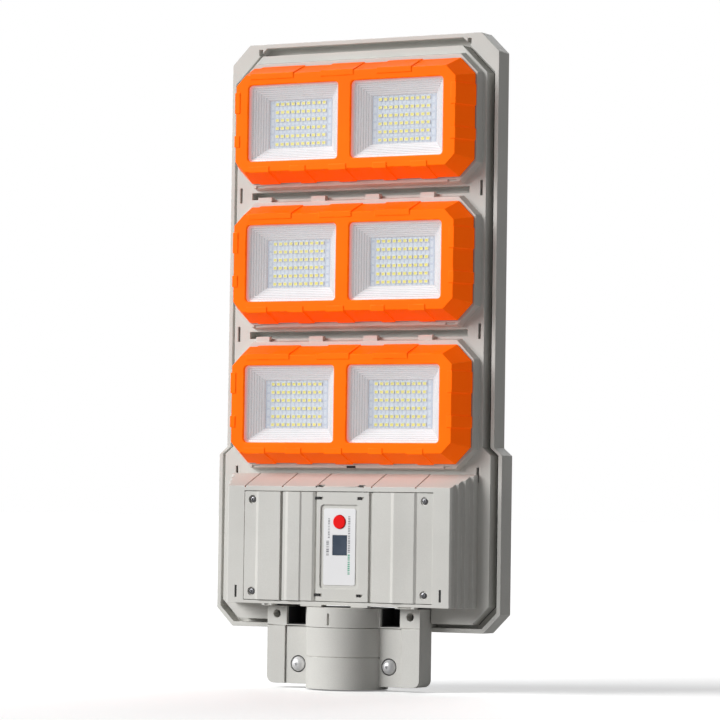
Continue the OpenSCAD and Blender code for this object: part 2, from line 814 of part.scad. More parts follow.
module box_screws() {
    color(steel) from_rim() for (p = box_fix) translate([p[0], 0, p[1]])
        screw(small_screw, -plate_rise + sheet, screw_len, -1);
}

module label_overlay() {
    front = -box_rise + recess_d - label_t;
    color("white") from_rim() translate([label_x, 0, label_z])
        difference() {
            along_y(front, front + label_t) rounded(label_size[0], label_size[1], 2);
            translate([button_x - label_x, 0, button_z - label_z]) rod(button_r + gap, front - 1, front + 1);
            translate([sensor_x - label_x, 0, sensor_z - label_z])
                along_y(front - 1, front + 1)
                    square([sensor_size[0] + 0.2, sensor_size[1] + 0.2], center = true);
        }
}

module power_button() {
    stem_r = 1.5;
    stem_len = standoff - switch_h - button_travel - gap;
    color("red") from_rim() translate([button_x, 0, button_z]) {
        rod(button_r, -box_rise - 0.3, cover_back + gap);
        rod(flange_r, cover_back + gap, cover_back + gap + flange_t);
        rod(stem_r, cover_back + gap, cover_back + stem_len);
    }
}

module sensor_window() {
    color([0.2, 0.24, 0.33]) from_rim() translate([sensor_x, 0, sensor_z]) {
        along_y(-box_rise + 0.5, cover_back + eps) square(sensor_size, center = true);
        along_y(cover_back, cover_back + 0.8)
            square([sensor_size[0] + 2.4, sensor_size[1] + 2.4], center = true);
    }
}

module board_posts() {
    for (x = [-1, 1] * (board_size[0] / 2 - pcb_in), z = [-1, 1] * (board_size[1] / 2 - pcb_in))
        translate([board_x + x, 0, label_z + z]) children();
}

module control_board() {
    color([0.05, 0.35, 0.2]) from_rim() difference() {
        translate([board_x, 0, label_z])
            along_y(pcb_front, pcb_front + pcb_t) square(board_size, center = true);
        board_posts() rod(board_screw[0] + hole_fit, pcb_front - 1, pcb_front + pcb_t + 1);
    }
}

module board_screws() {
    color(steel) from_rim() board_posts() screw(board_screw, pcb_front + pcb_t, 4.5, -1);
}

module button_switch() {
    color(rubber) from_rim() translate([button_x, 0, button_z])
        block([-3, pcb_front - switch_h, -3], [3, pcb_front, 3]);
}

module motion_sensor() {
    color(steel) from_rim() translate([sensor_x, 0, sensor_z])
        rod(4.5, cover_back + 0.8 + gap, pcb_front);
}

module battery_places() {
    for (k = [0:battery_count - 1])
        translate([(k - (battery_count - 1) / 2) * battery_pitch, battery_y, battery_low]) children();
}

module battery_cells() {
    color([0.2, 0.45, 0.75]) from_rim() battery_places() cylinder(r = battery_r, h = battery_len);
}

module battery_strips() {
    row = (battery_count - 1) * battery_pitch / 2 + 5;
    color("silver") from_rim() translate([0, battery_y, 0]) {
        block([-row, -4, battery_low - strip_t], [row, 4, battery_low]);
        block([-row, -4, battery_low + battery_len], [row, 4, battery_low + battery_len + strip_t]);
    }
}

module battery_holder() {
    row = (battery_count - 1) * battery_pitch / 2 + battery_r + 0.5;
    back = battery_y + battery_r + gap;
    low = battery_low - strip_t - gap;
    high = battery_low + battery_len + strip_t + gap;
    color(rubber) from_rim() {
        block([-row, back, low - holder_t], [row, back + holder_t, high + holder_t]);
        block([-row, battery_y - 2, low - holder_t], [row, back + eps, low]);
        block([-row, battery_y - 2, high], [row, back + eps, high + holder_t]);
        for (x = [-1, 1] * (row - 6), z = [low + 4, high - 4]) translate([x, 0, z])
            rod(3, back + holder_t - eps, floor_y);
    }
}

// leads from the boards and from the panel, which lie on the tray's floor
module wiring() {
    wire_r = 1.2;
    wire_y = floor_y - wire_r - 0.2;
    foot = box_face_top - 6;
    color("crimson") from_rim() {
        for (i = [0:2], side = [-1, 1]) translate([side * (window_x - 14 + 4 * i), wire_y, foot])
            cylinder(r = wire_r, h = module_z(i) - foot, $fn = 16);
        for (x = [-3, 3])
            translate([x, wire_y, foot]) cylinder(r = wire_r, h = panel_top - 32 - foot, $fn = 16);
    }
}

// ---- arm socket ------------------------------------------------------

// screws that hold the socket to the tray
socket_fix_x = 42;
socket_fix_step = 17.4;
socket_fix_z = box_bottom - 8;
cheek_seat = 2;

module cheek_shape() {
    translate([cheek_in, cheek_low + cheek_round]) square([cheek_out - cheek_in, 60]);
    translate([cheek_in, cheek_low]) square([cheek_out - cheek_in - cheek_round, cheek_round + 1]);
    translate([cheek_out - cheek_round, cheek_low + cheek_round]) circle(cheek_round);
}

module arm_socket() {
    back = slab_depth + rim_y;
    floor_back = rim_y + floor_y;
    seam = 0.6;
    color(housing_grey) difference() {
        union() {
            // the tube: whole above the split, and its rear half below
            translate([0, 0, cap_h + gap]) cylinder(r = tube_r, h = socket_top - cap_h - gap, $fn = 96);
            intersection() {
                cylinder(r = tube_r, h = socket_top, $fn = 96);
                block([-tube_r, split, 0], [tube_r, tube_r, socket_top]);
            }
            // flanges behind the clamp's wings, up to the cheeks
            block([-cheek_in - 1, split, cheek_low], [cheek_in + 1, cheek_back, cap_h + 1]);
            block([-cheek_out, cheek_front, cap_h + gap], [cheek_out, cheek_back, socket_top]);
            block([-cheek_out, cheek_front + 4, base_bottom + rim_wall + gap],
                  [cheek_out, floor_back, socket_top]);
            for (side = [0, 1]) mirror([side, 0, 0]) intersection() {
                along_y(cheek_front, cheek_back) cheek_shape();
                block([0, -99, 0], [99, 99, socket_top]);
            }
        }
        translate([0, 0, -1]) cylinder(r = bore_r, h = socket_top - stop_t + 1, $fn = 96);
        block([-99, back, -1], [99, back + 20, socket_top + 1]);
        block([-tray_notch + gap - 99, floor_back, -1], [-tray_notch + gap, back + 20, socket_top + 1]);
        block([tray_notch - gap, floor_back, -1], [tray_notch - gap + 99, back + 20, socket_top + 1]);
        // seam across the cheeks, and the deep windows over the wings
        for (side = [0, 1]) mirror([side, 0, 0]) {
            block([cheek_in - 1, cheek_front - 1, cap_h], [cheek_out + 1, cheek_front + 0.8, cap_h + seam]);
            block([tube_r + 1, cheek_front - 1, cap_h + 1.2], [cheek_in - 1.5, window_floor, socket_top + 1]);
            translate([socket_fix_x, 0, socket_fix_z])
                rod(small_screw[0] + hole_fit, 0, floor_back + 1);
            translate([socket_fix_x + socket_fix_step, 0, socket_fix_z]) {
                rod(small_screw[1] + hole_fit, cheek_front - 1, cheek_seat);
                rod(small_screw[0] + hole_fit, 0, floor_back + 1);
            }
            translate([clamp_x, 0, clamp_z]) {
                rod(clamp_shank_r + hole_fit, 0, cheek_back + 1);
                along_y(nut_front, cheek_back + 1) circle(nut_r + 0.1, $fn = 6);
            }
        }
        // small slot in the front of the tube
        block([-0.9, -tube_r - 1, cap_h + 2], [0.9, -tube_r + 2, cap_h + 11]);
    }
}

module clamp_cap() {
    rib = 0.35;
    color(housing_grey) difference() {
        union() {
            intersection() {
                cylinder(r = tube_r, h = cap_h, $fn = 96);
                block([-tube_r, -tube_r, 0], [tube_r, -split, cap_h]);
            }
            block([-wing_x, wing_front, cheek_low], [wing_x, -split, cap_h]);
        }
        translate([0, 0, -1]) cylinder(r = bore_r, h = cap_h + 2, $fn = 96);
        for (side = [-1, 1]) translate([side * clamp_x, 0, clamp_z]) {
            rod(clamp_shank_r + hole_fit, wing_front - 1, 1);
            rod(clamp_head_r + 0.9, wing_front - 1, wing_front + head_sink);
        }
        // fine line around the tube
        translate([0, 0, cap_h * 0.52]) difference() {
            cylinder(r = tube_r + 1, h = 0.5, $fn = 96);
            translate([0, 0, -1]) cylinder(r = tube_r - rib, h = 3, $fn = 96);
        }
    }
}

module clamp_screw(side) {
    seat = wing_front + head_sink - 0.1;
    dome_r = 6.2;
    color(steel) translate([side * clamp_x, 0, clamp_z]) {
        difference() {
            intersection() {
                rod(clamp_head_r, seat - clamp_head_h, seat);
                translate([0, seat - clamp_head_h + dome_r, 0]) sphere(r = dome_r, $fn = 64);
            }
            along_y(seat - clamp_head_h - 1, seat - 3) circle(1.5, $fn = 6);
        }
        rod(clamp_shank_r, seat - eps, screw_tip);
    }
}

module clamp_nuts() {
    color(steel) for (side = [-1, 1]) translate([side * clamp_x, 0, clamp_z]) difference() {
        along_y(nut_front, nut_front + nut_t) circle(nut_r, $fn = 6);
        rod(clamp_shank_r + thread_gap, nut_front - 1, nut_front + nut_t + 1);
    }
}

module socket_screws() {
    tip = rim_y + recess_y - 1.2;
    color(steel) for (x = [-1, 1] * socket_fix_x) translate([x, 0, socket_fix_z]) {
        screw(small_screw, window_floor, tip - window_floor, 1);
        translate([sign(x) * socket_fix_step, 0, 0]) screw(small_screw, cheek_seat, tip - cheek_seat, 1);
    }
}

rear_tray();
panel_backsheet();
solar_cells();
cell_ribbons();
solar_glass();
panel_seal();
panel_terminal();
front_housing();
housing_seal();
shell_screws();
bezel(0);  // bezel_bottom
bezel(1);  // bezel_middle
bezel(2);  // bezel_top
lens(0);  // lens_bottom
lens(1);  // lens_middle
lens(2);  // lens_top
reflector(0);  // reflector_bottom
reflector(1);  // reflector_middle
reflector(2);  // reflector_top
led_board(0);  // led_board_bottom
led_board(1);  // led_board_middle
led_board(2);  // led_board_top
led_chips(0);  // led_chips_bottom
led_chips(1);  // led_chips_middle
led_chips(2);  // led_chips_top
gasket(0);  // gasket_bottom
gasket(1);  // gasket_middle
gasket(2);  // gasket_top
bezel_screws();
control_box();
box_cover();
cover_seal();
cover_screws();
box_screws();
label_overlay();
power_button();
sensor_window();
control_board();
board_screws();
button_switch();
motion_sensor();
battery_cells();
battery_strips();
battery_holder();
wiring();
arm_socket();
clamp_cap();
clamp_screw(-1);  // clamp_screw_left
clamp_screw(1);  // clamp_screw_right
clamp_nuts();
socket_screws();
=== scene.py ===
import math

import bmesh
import bpy
from mathutils import Matrix, Vector


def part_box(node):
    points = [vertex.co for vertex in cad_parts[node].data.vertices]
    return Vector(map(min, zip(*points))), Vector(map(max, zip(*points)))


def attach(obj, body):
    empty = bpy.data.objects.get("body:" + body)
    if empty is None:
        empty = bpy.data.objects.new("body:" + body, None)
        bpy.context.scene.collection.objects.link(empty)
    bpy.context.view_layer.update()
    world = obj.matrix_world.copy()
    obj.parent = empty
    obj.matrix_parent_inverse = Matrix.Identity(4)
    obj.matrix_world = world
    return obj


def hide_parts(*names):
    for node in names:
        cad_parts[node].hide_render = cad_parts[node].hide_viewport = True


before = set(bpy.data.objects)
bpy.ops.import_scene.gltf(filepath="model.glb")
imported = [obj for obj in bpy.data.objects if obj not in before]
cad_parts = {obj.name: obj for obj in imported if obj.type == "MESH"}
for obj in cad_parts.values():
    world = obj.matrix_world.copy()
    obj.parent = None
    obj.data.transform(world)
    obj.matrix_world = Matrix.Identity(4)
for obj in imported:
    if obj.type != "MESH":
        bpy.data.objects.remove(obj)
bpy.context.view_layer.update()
scene = bpy.context.scene
mm = 0.001


# ---- node helpers

def feed(tree, node, inputs):
    # each input's name or number, with the socket that feeds it or its plain value
    for key, value in inputs.items():
        if isinstance(value, bpy.types.NodeSocket):
            tree.links.new(value, node.inputs[key])
        else:
            node.inputs[key].default_value = value


def addNode(tree, kind, inputs=None, **settings):
    node = tree.nodes.new(kind)
    for name, value in settings.items():
        setattr(node, name, value)
    feed(tree, node, inputs or {})
    return node


def mathNode(tree, operation, *values):
    return addNode(tree, "ShaderNodeMath", dict(enumerate(values)), operation=operation).outputs[0]


def mixColor(tree, factor, first, second):
    first, second = [(*c, 1.0) if isinstance(c, tuple) else c for c in (first, second)]
    return addNode(tree, "ShaderNodeMix", {0: factor, 6: first, 7: second}, data_type="RGBA").outputs[2]


# ---- camera, light and floor

cameraView = {
    "place": (1.3407, -2.4364, 0.1384),
    "turn": 28.69,  # degrees, to the left of +Y
    "tilt": 2.45,
    "roll": -0.83,
    "lens": 177.0,
}


def setCamera(v):
    data = bpy.data.cameras.new("viewCamera")
    data.lens = v["lens"]
    data.sensor_width = 36.0
    data.clip_end = 200.0
    camera = bpy.data.objects.new("viewCamera", data)
    turn = (
        Matrix.Rotation(math.radians(v["turn"]), 4, "Z")
        @ Matrix.Rotation(math.radians(v["tilt"]), 4, "X")
        @ Matrix.Rotation(math.radians(v["roll"]), 4, "Y")
        @ Matrix.Rotation(math.radians(90.0), 4, "X")
    )
    camera.matrix_world = Matrix.Translation(v["place"]) @ turn
    scene.collection.objects.link(camera)
    scene.camera = camera


studio = {
    "keyFrom": (-0.62, -0.66, 0.42),
    "keyPower": 3.3,
    "keySize": 36.0,  # degrees
    "backFrom": (-0.25, 0.85, 0.50),
    "backPower": 1.5,
    "backSize": 50.0,
    "roomLight": 0.16,
    "wallColor": (1.0, 1.0, 1.0),
    "floorColor": (0.42, 0.42, 0.42),  # what the lamp sees
    "floorShown": (1.0, 1.0, 1.0),  # what the camera sees
    "floorLift": 0.22,
    "floorHalf": 60.0,
    "floorDrop": 0.001,
}


def addSun(name, source, power, size):
    data = bpy.data.lights.new(name, "SUN")
    data.energy = power
    data.angle = math.radians(size)
    lamp = bpy.data.objects.new(name, data)
    lamp.rotation_euler = Vector(source).to_track_quat("Z", "Y").to_euler()
    scene.collection.objects.link(lamp)


def setStudio(v):
    addSun("keyLight", v["keyFrom"], v["keyPower"], v["keySize"])
    addSun("backLight", v["backFrom"], v["backPower"], v["backSize"])
    world = bpy.data.worlds.new("paleRoom")
    scene.world = world
    world.use_nodes = True
    tree = world.node_tree
    room = tree.nodes["Background"]
    feed(tree, room, {"Color": (*v["wallColor"], 1.0), "Strength": v["roomLight"]})
    wall = addNode(tree, "ShaderNodeBackground", {"Color": (*v["wallColor"], 1.0)})
    seen = addNode(tree, "ShaderNodeLightPath").outputs["Is Camera Ray"]
    both = addNode(tree, "ShaderNodeMixShader", {0: seen, 1: room.outputs[0], 2: wall.outputs[0]})
    feed(tree, tree.nodes["World Output"], {"Surface": both.outputs[0]})

    half = v["floorHalf"]
    mesh = bpy.data.meshes.new("paleFloor")
    corners = [(-half, -half), (half, -half), (half, half), (-half, half)]
    mesh.from_pydata([(x, y, -v["floorDrop"]) for x, y in corners], [], [(0, 1, 2, 3)])
    floor = bpy.data.objects.new("paleFloor", mesh)
    scene.collection.objects.link(floor)
    paint = bpy.data.materials.new("paleFloor")
    paint.use_nodes = True
    tree = paint.node_tree
    seen = addNode(tree, "ShaderNodeLightPath").outputs["Is Camera Ray"]
    feed(tree, tree.nodes["Principled BSDF"], {
        "Base Color": mixColor(tree, seen, v["floorColor"], v["floorShown"]),
        "Emission Color": (1.0, 1.0, 1.0, 1.0),
        "Emission Strength": mathNode(tree, "MULTIPLY", seen, v["floorLift"]),
        "Roughness": 0.9, "Specular IOR Level": 0.1})
    mesh.materials.append(paint)


setCamera(cameraView)
setStudio(studio)
scene.view_settings.view_transform = "Standard"
print("camera, light and floor are set")


# ---- shader node groups

def newGroup(name, inputs, outputs):
    tree = bpy.data.node_groups.new(name, "ShaderNodeTree")
    for label, kind, value in inputs:
        item = tree.interface.new_socket(name=label, in_out="INPUT", socket_type=kind)
        if value is not None:
            item.default_value = value
    for label, kind in outputs:
        tree.interface.new_socket(name=label, in_out="OUTPUT", socket_type=kind)
    return tree, addNode(tree, "NodeGroupInput"), addNode(tree, "NodeGroupOutput")


def noiseNode(tree, vector, scale, detail=3.0, rough=0.55):
    return addNode(tree, "ShaderNodeTexNoise", {
        "Vector": vector, "Scale": scale, "Detail": detail, "Roughness": rough}).outputs[0]


def rangeNode(tree, value, low, high, outLow=0.0, outHigh=1.0):
    return addNode(tree, "ShaderNodeMapRange", {
        "Value": value, "From Min": low, "From Max": high, "To Min": outLow, "To Max": outHigh},
        interpolation_type="SMOOTHSTEP").outputs["Result"]


def makeMouldGrain():
    # fine spark-eroded texture of moulded plastic, with slow changes of tone
    tree, take, give = newGroup(
        "mouldGrain",
        [("Vector", "NodeSocketVector", None), ("Grain Scale", "NodeSocketFloat", 1400.0),
         ("Flow Scale", "NodeSocketFloat", 14.0)],
        [("Height", "NodeSocketFloat"), ("Flow", "NodeSocketFloat"), ("Speck", "NodeSocketFloat")],
    )
    vector = take.outputs["Vector"]
    fine = noiseNode(tree, vector, take.outputs["Grain Scale"], 2.0)
    feed(tree, give, {
        "Height": fine,
        "Flow": noiseNode(tree, vector, take.outputs["Flow Scale"], 4.0),
        "Speck": rangeNode(tree, fine, 0.35, 0.65)})
    return tree


def makeEdgeWearAndHighlight():
    # mask of rubbed edges with painted edge highlight, broken up by noise; the rounded faces carry the attribute
    # "edge"
    tree, take, give = newGroup(
        "edgeWearAndHighlight",
        [("Vector", "NodeSocketVector", None), ("Edge", "NodeSocketFloat", 0.0),
         ("Scale", "NodeSocketFloat", 90.0), ("Amount", "NodeSocketFloat", 0.5)],
        [("Mask", "NodeSocketFloat")],
    )
    broken = noiseNode(tree, take.outputs["Vector"], take.outputs["Scale"], 4.0)
    patches = rangeNode(tree, broken, 0.42, 0.62)
    wornAndLit = mathNode(tree, "MULTIPLY", take.outputs["Edge"], patches)
    feed(tree, give, {"Mask": mathNode(tree, "MULTIPLY", wornAndLit, take.outputs["Amount"])})
    return tree


def makeRestingDust():
    # thin dust on what faces up
    tree, take, give = newGroup(
        "restingDust",
        [("Vector", "NodeSocketVector", None), ("Amount", "NodeSocketFloat", 0.2)],
        [("Mask", "NodeSocketFloat")],
    )
    normal = addNode(tree, "ShaderNodeNewGeometry").outputs["Normal"]
    parts = addNode(tree, "ShaderNodeSeparateXYZ", {0: normal})
    up = rangeNode(tree, parts.outputs["Z"], 0.35, 0.95)
    spread = rangeNode(tree, noiseNode(tree, take.outputs["Vector"], 60.0, 6.0), 0.35, 0.75)
    dusty = mathNode(tree, "MULTIPLY", up, spread)
    feed(tree, give, {"Mask": mathNode(tree, "MULTIPLY", dusty, take.outputs["Amount"])})
    return tree


def makeDrawnMetal():
    # long fine lines along one axis
    tree, take, give = newGroup(
        "drawnMetal",
        [("Vector", "NodeSocketVector", None), ("Stretch", "NodeSocketVector", (1.0, 1.0, 1.0)),
         ("Scale", "NodeSocketFloat", 900.0)],
        [("Line", "NodeSocketFloat")],
    )
    stretch = addNode(tree, "ShaderNodeVectorMath", {
        0: take.outputs["Vector"], 1: take.outputs["Stretch"]}, operation="MULTIPLY")
    feed(tree, give, {"Line": noiseNode(tree, stretch.outputs[0], take.outputs["Scale"], 3.0)})
    return tree


mouldGrain = makeMouldGrain()
edgeWearAndHighlight = makeEdgeWearAndHighlight()
restingDust = makeRestingDust()
drawnMetal = makeDrawnMetal()
print("shader groups are built")


# ---- materials

def newMaterial(name):
    material = bpy.data.materials.new(name)
    material.use_nodes = True
    tree = material.node_tree
    place = addNode(tree, "ShaderNodeTexCoord").outputs["Object"]
    return material, tree, tree.nodes["Principled BSDF"], place


def useGroup(tree, group, vector, **values):
    inputs = {name.replace("_", " "): value for name, value in values.items()}
    return addNode(tree, "ShaderNodeGroup", {"Vector": vector, **inputs}, node_tree=group)


def splitAxes(tree, vector):
    return addNode(tree, "ShaderNodeSeparateXYZ", {0: vector}).outputs


def addBump(tree, surface, height, depth, strength=0.5):
    bump = addNode(tree, "ShaderNodeBump", {"Strength": strength, "Distance": depth, "Height": height})
    feed(tree, surface, {"Normal": bump.outputs["Normal"]})


def mouldedPlastic(name, v):
    material, tree, surface, place = newMaterial(name)
    grain = useGroup(tree, mouldGrain, place, Grain_Scale=v["grainScale"])
    wearAndHighlight = useGroup(
        tree, edgeWearAndHighlight, place, Amount=v.get("wearAndHighlight", 0.5),
        Edge=addNode(tree, "ShaderNodeAttribute", attribute_name="edge").outputs["Fac"])
    tone = rangeNode(tree, grain.outputs["Flow"], 0.3, 0.7)
    color = mixColor(tree, tone, v["deep"], v["light"])
    speckled = mathNode(tree, "MULTIPLY", grain.outputs["Speck"], v.get("speck", 0.12))
    color = mixColor(tree, speckled, color, v["speckColor"])
    # partly wear, partly painted highlight: the rounded edges turn lighter
    color = mixColor(tree, wearAndHighlight.outputs["Mask"], color, v["edgeWearAndHighlightColor"])
    if v.get("dust"):
        dust = useGroup(tree, restingDust, place, Amount=v["dust"])
        color = mixColor(tree, dust.outputs["Mask"], color, v["dustColor"])
    shine = rangeNode(tree, grain.outputs["Flow"], 0.25, 0.75, v["rough"] - 0.05, v["rough"] + 0.05)
    rubbed = mathNode(tree, "MULTIPLY", wearAndHighlight.outputs["Mask"], 0.12)
    feed(tree, surface, {
        "Base Color": color, "Roughness": mathNode(tree, "SUBTRACT", shine, rubbed),
        "Specular IOR Level": v.get("specular", 0.45)})
    # painted light: the surface glows a little, though it is no lamp
    if v.get("glow"):
        feed(tree, surface, {"Emission Color": (*v["glowColor"], 1.0), "Emission Strength": v["glow"]})
    if v.get("coat"):
        feed(tree, surface, {"Coat Weight": v["coat"], "Coat Roughness": 0.15})
    addBump(tree, surface, grain.outputs["Height"], v["grainDepth"], v.get("bump", 0.5))
    return material


def drawnMetalFinish(name, v):
    material, tree, surface, place = newMaterial(name)
    lines = useGroup(tree, drawnMetal, place, Stretch=v["stretch"])
    flow = useGroup(tree, mouldGrain, place, Flow_Scale=60.0)
    feed(tree, surface, {
        "Base Color": mixColor(tree, lines.outputs["Line"], v["deep"], v["light"]),
        "Metallic": v.get("metal", 1.0),
        "Roughness": rangeNode(
            tree, flow.outputs["Flow"], 0.3, 0.7, v["rough"] - 0.07, v["rough"] + 0.07)})
    addBump(tree, surface, lines.outputs["Line"], v.get("lineDepth", 0.00001), 0.4)
    return material


def clearSheet(name, v):
    # a clear sheet that lets the light in: a faint body with a glossy face
    material, tree, surface, place = newMaterial(name)
    haze = useGroup(tree, mouldGrain, place, Flow_Scale=v["hazeScale"]).outputs["Flow"]
    thin, thick = v["alpha"] - v["alphaSpread"], v["alpha"] + v["alphaSpread"]
    feed(tree, surface, {
        "Alpha": rangeNode(tree, haze, 0.3, 0.7, thin, thick),
        "Base Color": (*v["color"], 1.0),
        "Roughness": rangeNode(tree, haze, 0.3, 0.7, v["rough"], v["rough"] + 0.05),
        "IOR": v["ior"]})
    return material


# the edge colour in each paint below is partly wear and partly painted highlight on the rounded edges
housingPaint = {
    "deep": (0.612, 0.606, 0.574), "light": (0.668, 0.662, 0.628),
    "speckColor": (0.48, 0.47, 0.44), "speck": 0.16,
    "edgeWearAndHighlightColor": (0.80, 0.79, 0.75), "wearAndHighlight": 0.45,
    "dust": 0.16, "dustColor": (0.70, 0.67, 0.60),
    "rough": 0.52, "grainScale": 1500.0, "grainDepth": 0.00006, "bump": 0.35, "specular": 0.22,
}
bezelPaint = {
    "deep": (0.97, 0.150, 0.0006), "light": (1.0, 0.178, 0.001),
    "speckColor": (0.90, 0.10, 0.001), "speck": 0.12,
    "edgeWearAndHighlightColor": (1.0, 0.26, 0.012), "wearAndHighlight": 0.5,
    "rough": 0.46, "grainScale": 1900.0, "grainDepth": 0.00004, "bump": 0.25, "specular": 0.05,
    # painted light: the bezel glows a little, though it is no lamp, so its shaded sides stay orange
    "glow": 0.34, "glowColor": (1.0, 0.085, 0.002),  # a little light of its own keeps the sides orange
}
blackPaint = {
    "deep": (0.018, 0.018, 0.020), "light": (0.032, 0.032, 0.034),
    "speckColor": (0.06, 0.06, 0.06), "edgeWearAndHighlightColor": (0.10, 0.10, 0.10), "wearAndHighlight": 0.6,
    "rough": 0.55, "grainScale": 1300.0, "grainDepth": 0.00006,
}
sealRubber = {
    "deep": (0.015, 0.015, 0.016), "light": (0.030, 0.030, 0.031),
    "speckColor": (0.07, 0.07, 0.07), "edgeWearAndHighlightColor": (0.05, 0.05, 0.05),
    "rough": 0.78, "grainScale": 2200.0, "grainDepth": 0.00005,
}
buttonPaint = {
    "deep": (0.84, 0.002, 0.002), "light": (0.94, 0.003, 0.003),
    "speckColor": (0.55, 0.003, 0.003), "edgeWearAndHighlightColor": (0.95, 0.05, 0.04), "wearAndHighlight": 0.5,
    "rough": 0.42, "grainScale": 2600.0, "grainDepth": 0.00002, "specular": 0.12,
}
labelPaint = {
    "deep": (0.80, 0.80, 0.81), "light": (0.86, 0.86, 0.87),
    "speckColor": (0.74, 0.74, 0.76), "edgeWearAndHighlightColor": (0.9, 0.9, 0.9),
    "rough": 0.34, "grainScale": 3200.0, "grainDepth": 0.00001, "speck": 0.08,
}
cellSleeve = {
    "deep": (0.02, 0.12, 0.42), "light": (0.03, 0.17, 0.55),
    "speckColor": (0.02, 0.08, 0.3), "edgeWearAndHighlightColor": (0.1, 0.3, 0.7),
    "rough": 0.28, "grainScale": 700.0, "grainDepth": 0.00008, "coat": 0.3,
}
wireSleeve = {
    "deep": (0.38, 0.012, 0.012), "light": (0.5, 0.02, 0.02),
    "speckColor": (0.25, 0.01, 0.01), "edgeWearAndHighlightColor": (0.6, 0.1, 0.1),
    "rough": 0.4, "grainScale": 1500.0, "grainDepth": 0.00003,
}
backLaminate = {
    "deep": (0.74, 0.75, 0.76), "light": (0.80, 0.81, 0.82),
    "speckColor": (0.66, 0.67, 0.70), "edgeWearAndHighlightColor": (0.8, 0.8, 0.8),
    "rough": 0.5, "grainScale": 1100.0, "grainDepth": 0.00004,
}
pinHead = {"stretch": (1.0, 6.0, 1.0), "deep": (0.46, 0.47, 0.49), "light": (0.66, 0.67, 0.69),
           "rough": 0.34}
# painted shade: a darker copy of the zinc screw finish, for screws that sit in shaded recesses
shadedHead = {"stretch": (1.0, 6.0, 1.0), "deep": (0.14, 0.14, 0.15), "light": (0.26, 0.26, 0.27),
            "rough": 0.40}
domeHead = {"stretch": (1.0, 5.0, 1.0), "deep": (0.82, 0.82, 0.83), "light": (0.92, 0.92, 0.93),
            "rough": 0.40, "lineDepth": 0.000002, "metal": 0.55}
nickelStrip = {"stretch": (0.1, 1.0, 1.0), "deep": (0.62, 0.61, 0.58), "light": (0.74, 0.73, 0.70),
               "rough": 0.3}
canMetal = {"stretch": (1.0, 0.2, 1.0), "deep": (0.60, 0.60, 0.62), "light": (0.75, 0.75, 0.77),
            "rough": 0.25}
ribbonMetal = {"stretch": (1.0, 1.0, 0.05), "deep": (0.60, 0.61, 0.63), "light": (0.80, 0.81, 0.83),
               "rough": 0.28}
windowSheet = {"color": (0.93, 0.95, 0.97), "alpha": 0.075, "alphaSpread": 0.02, "hazeScale": 22.0,
               "rough": 0.04, "ior": 1.5}
panelSheet = {"color": (0.78, 0.84, 0.90), "alpha": 0.10, "alphaSpread": 0.02, "hazeScale": 9.0,
              "rough": 0.06, "ior": 1.5}


def reflectorFinish(name, v):
    # bright moulded reflector with rows of tiny dots pressed into its walls; painted light: it glows a little,
    # though it is no lamp, to brighten walls the lamp misses
    material, tree, surface, place = newMaterial(name)
    grain = useGroup(tree, mouldGrain, place, Grain_Scale=2400.0)
    dots = addNode(tree, "ShaderNodeTexVoronoi", {
        "Vector": place, "Scale": v["dotScale"], "Randomness": 0.0})
    spot = rangeNode(tree, dots.outputs["Distance"], v["dotSize"], v["dotSize"] + 0.12, 1.0, 0.0)
    color = mixColor(tree, grain.outputs["Flow"], v["deep"], v["light"])
    color = mixColor(tree, mathNode(tree, "MULTIPLY", spot, v["dotTone"]), color, v["dotColor"])
    feed(tree, surface, {
        "Base Color": color, "Roughness": v["rough"], "Specular IOR Level": 0.4,
        "Emission Color": color, "Emission Strength": v["glow"]})
    addBump(tree, surface, mathNode(tree, "MULTIPLY", spot, -1.0), 0.00012, 0.5)
    return material


reflectorPaint = {
    # painted light: "glow" makes the reflector shine though it is no lamp
    "deep": (0.84, 0.84, 0.86), "light": (0.92, 0.92, 0.94), "rough": 0.3, "glow": 0.16,
    "dotScale": 620.0, "dotSize": 0.22, "dotTone": 0.35, "dotColor": (0.50, 0.50, 0.54),
}
ribPaint = {
    # painted light: "glow" makes the ribs shine though they are no lamp
    "deep": (0.58, 0.58, 0.60), "light": (0.68, 0.68, 0.70), "rough": 0.35, "glow": 0.10,
    "dotScale": 620.0, "dotSize": 0.30, "dotTone": 0.5, "dotColor": (0.80, 0.80, 0.82),
}


def boardFinish(v):
    # white mask over copper runs, seen as slightly darker, raised bands
    material, tree, surface, place = newMaterial("boardMask")
    parts = splitAxes(tree, place)
    across = mathNode(tree, "FRACT", mathNode(tree, "MULTIPLY", parts["X"], v["runPitch"]))
    up = mathNode(tree, "FRACT", mathNode(tree, "MULTIPLY", parts["Z"], v["rowPitch"]))
    bandX = mathNode(tree, "COMPARE", across, 0.5, 0.32)
    bandZ = mathNode(tree, "COMPARE", up, 0.5, 0.38)
    run = mathNode(tree, "MULTIPLY", bandX, bandZ)
    grain = useGroup(tree, mouldGrain, place, Grain_Scale=3000.0, Flow_Scale=40.0)
    color = mixColor(tree, grain.outputs["Flow"], v["deep"], v["light"])
    color = mixColor(tree, mathNode(tree, "MULTIPLY", run, v["runTone"]), color, v["runColor"])
    feed(tree, surface, {"Base Color": color, "Roughness": 0.38})
    addBump(tree, surface, run, 0.00004, 0.6)
    return material


boardPaint = {
    "deep": (0.48, 0.56, 0.68), "light": (0.54, 0.63, 0.75), "runColor": (0.74, 0.82, 0.88),
    "runTone": 0.6, "runPitch": 270.0, "rowPitch": 160.0,
}


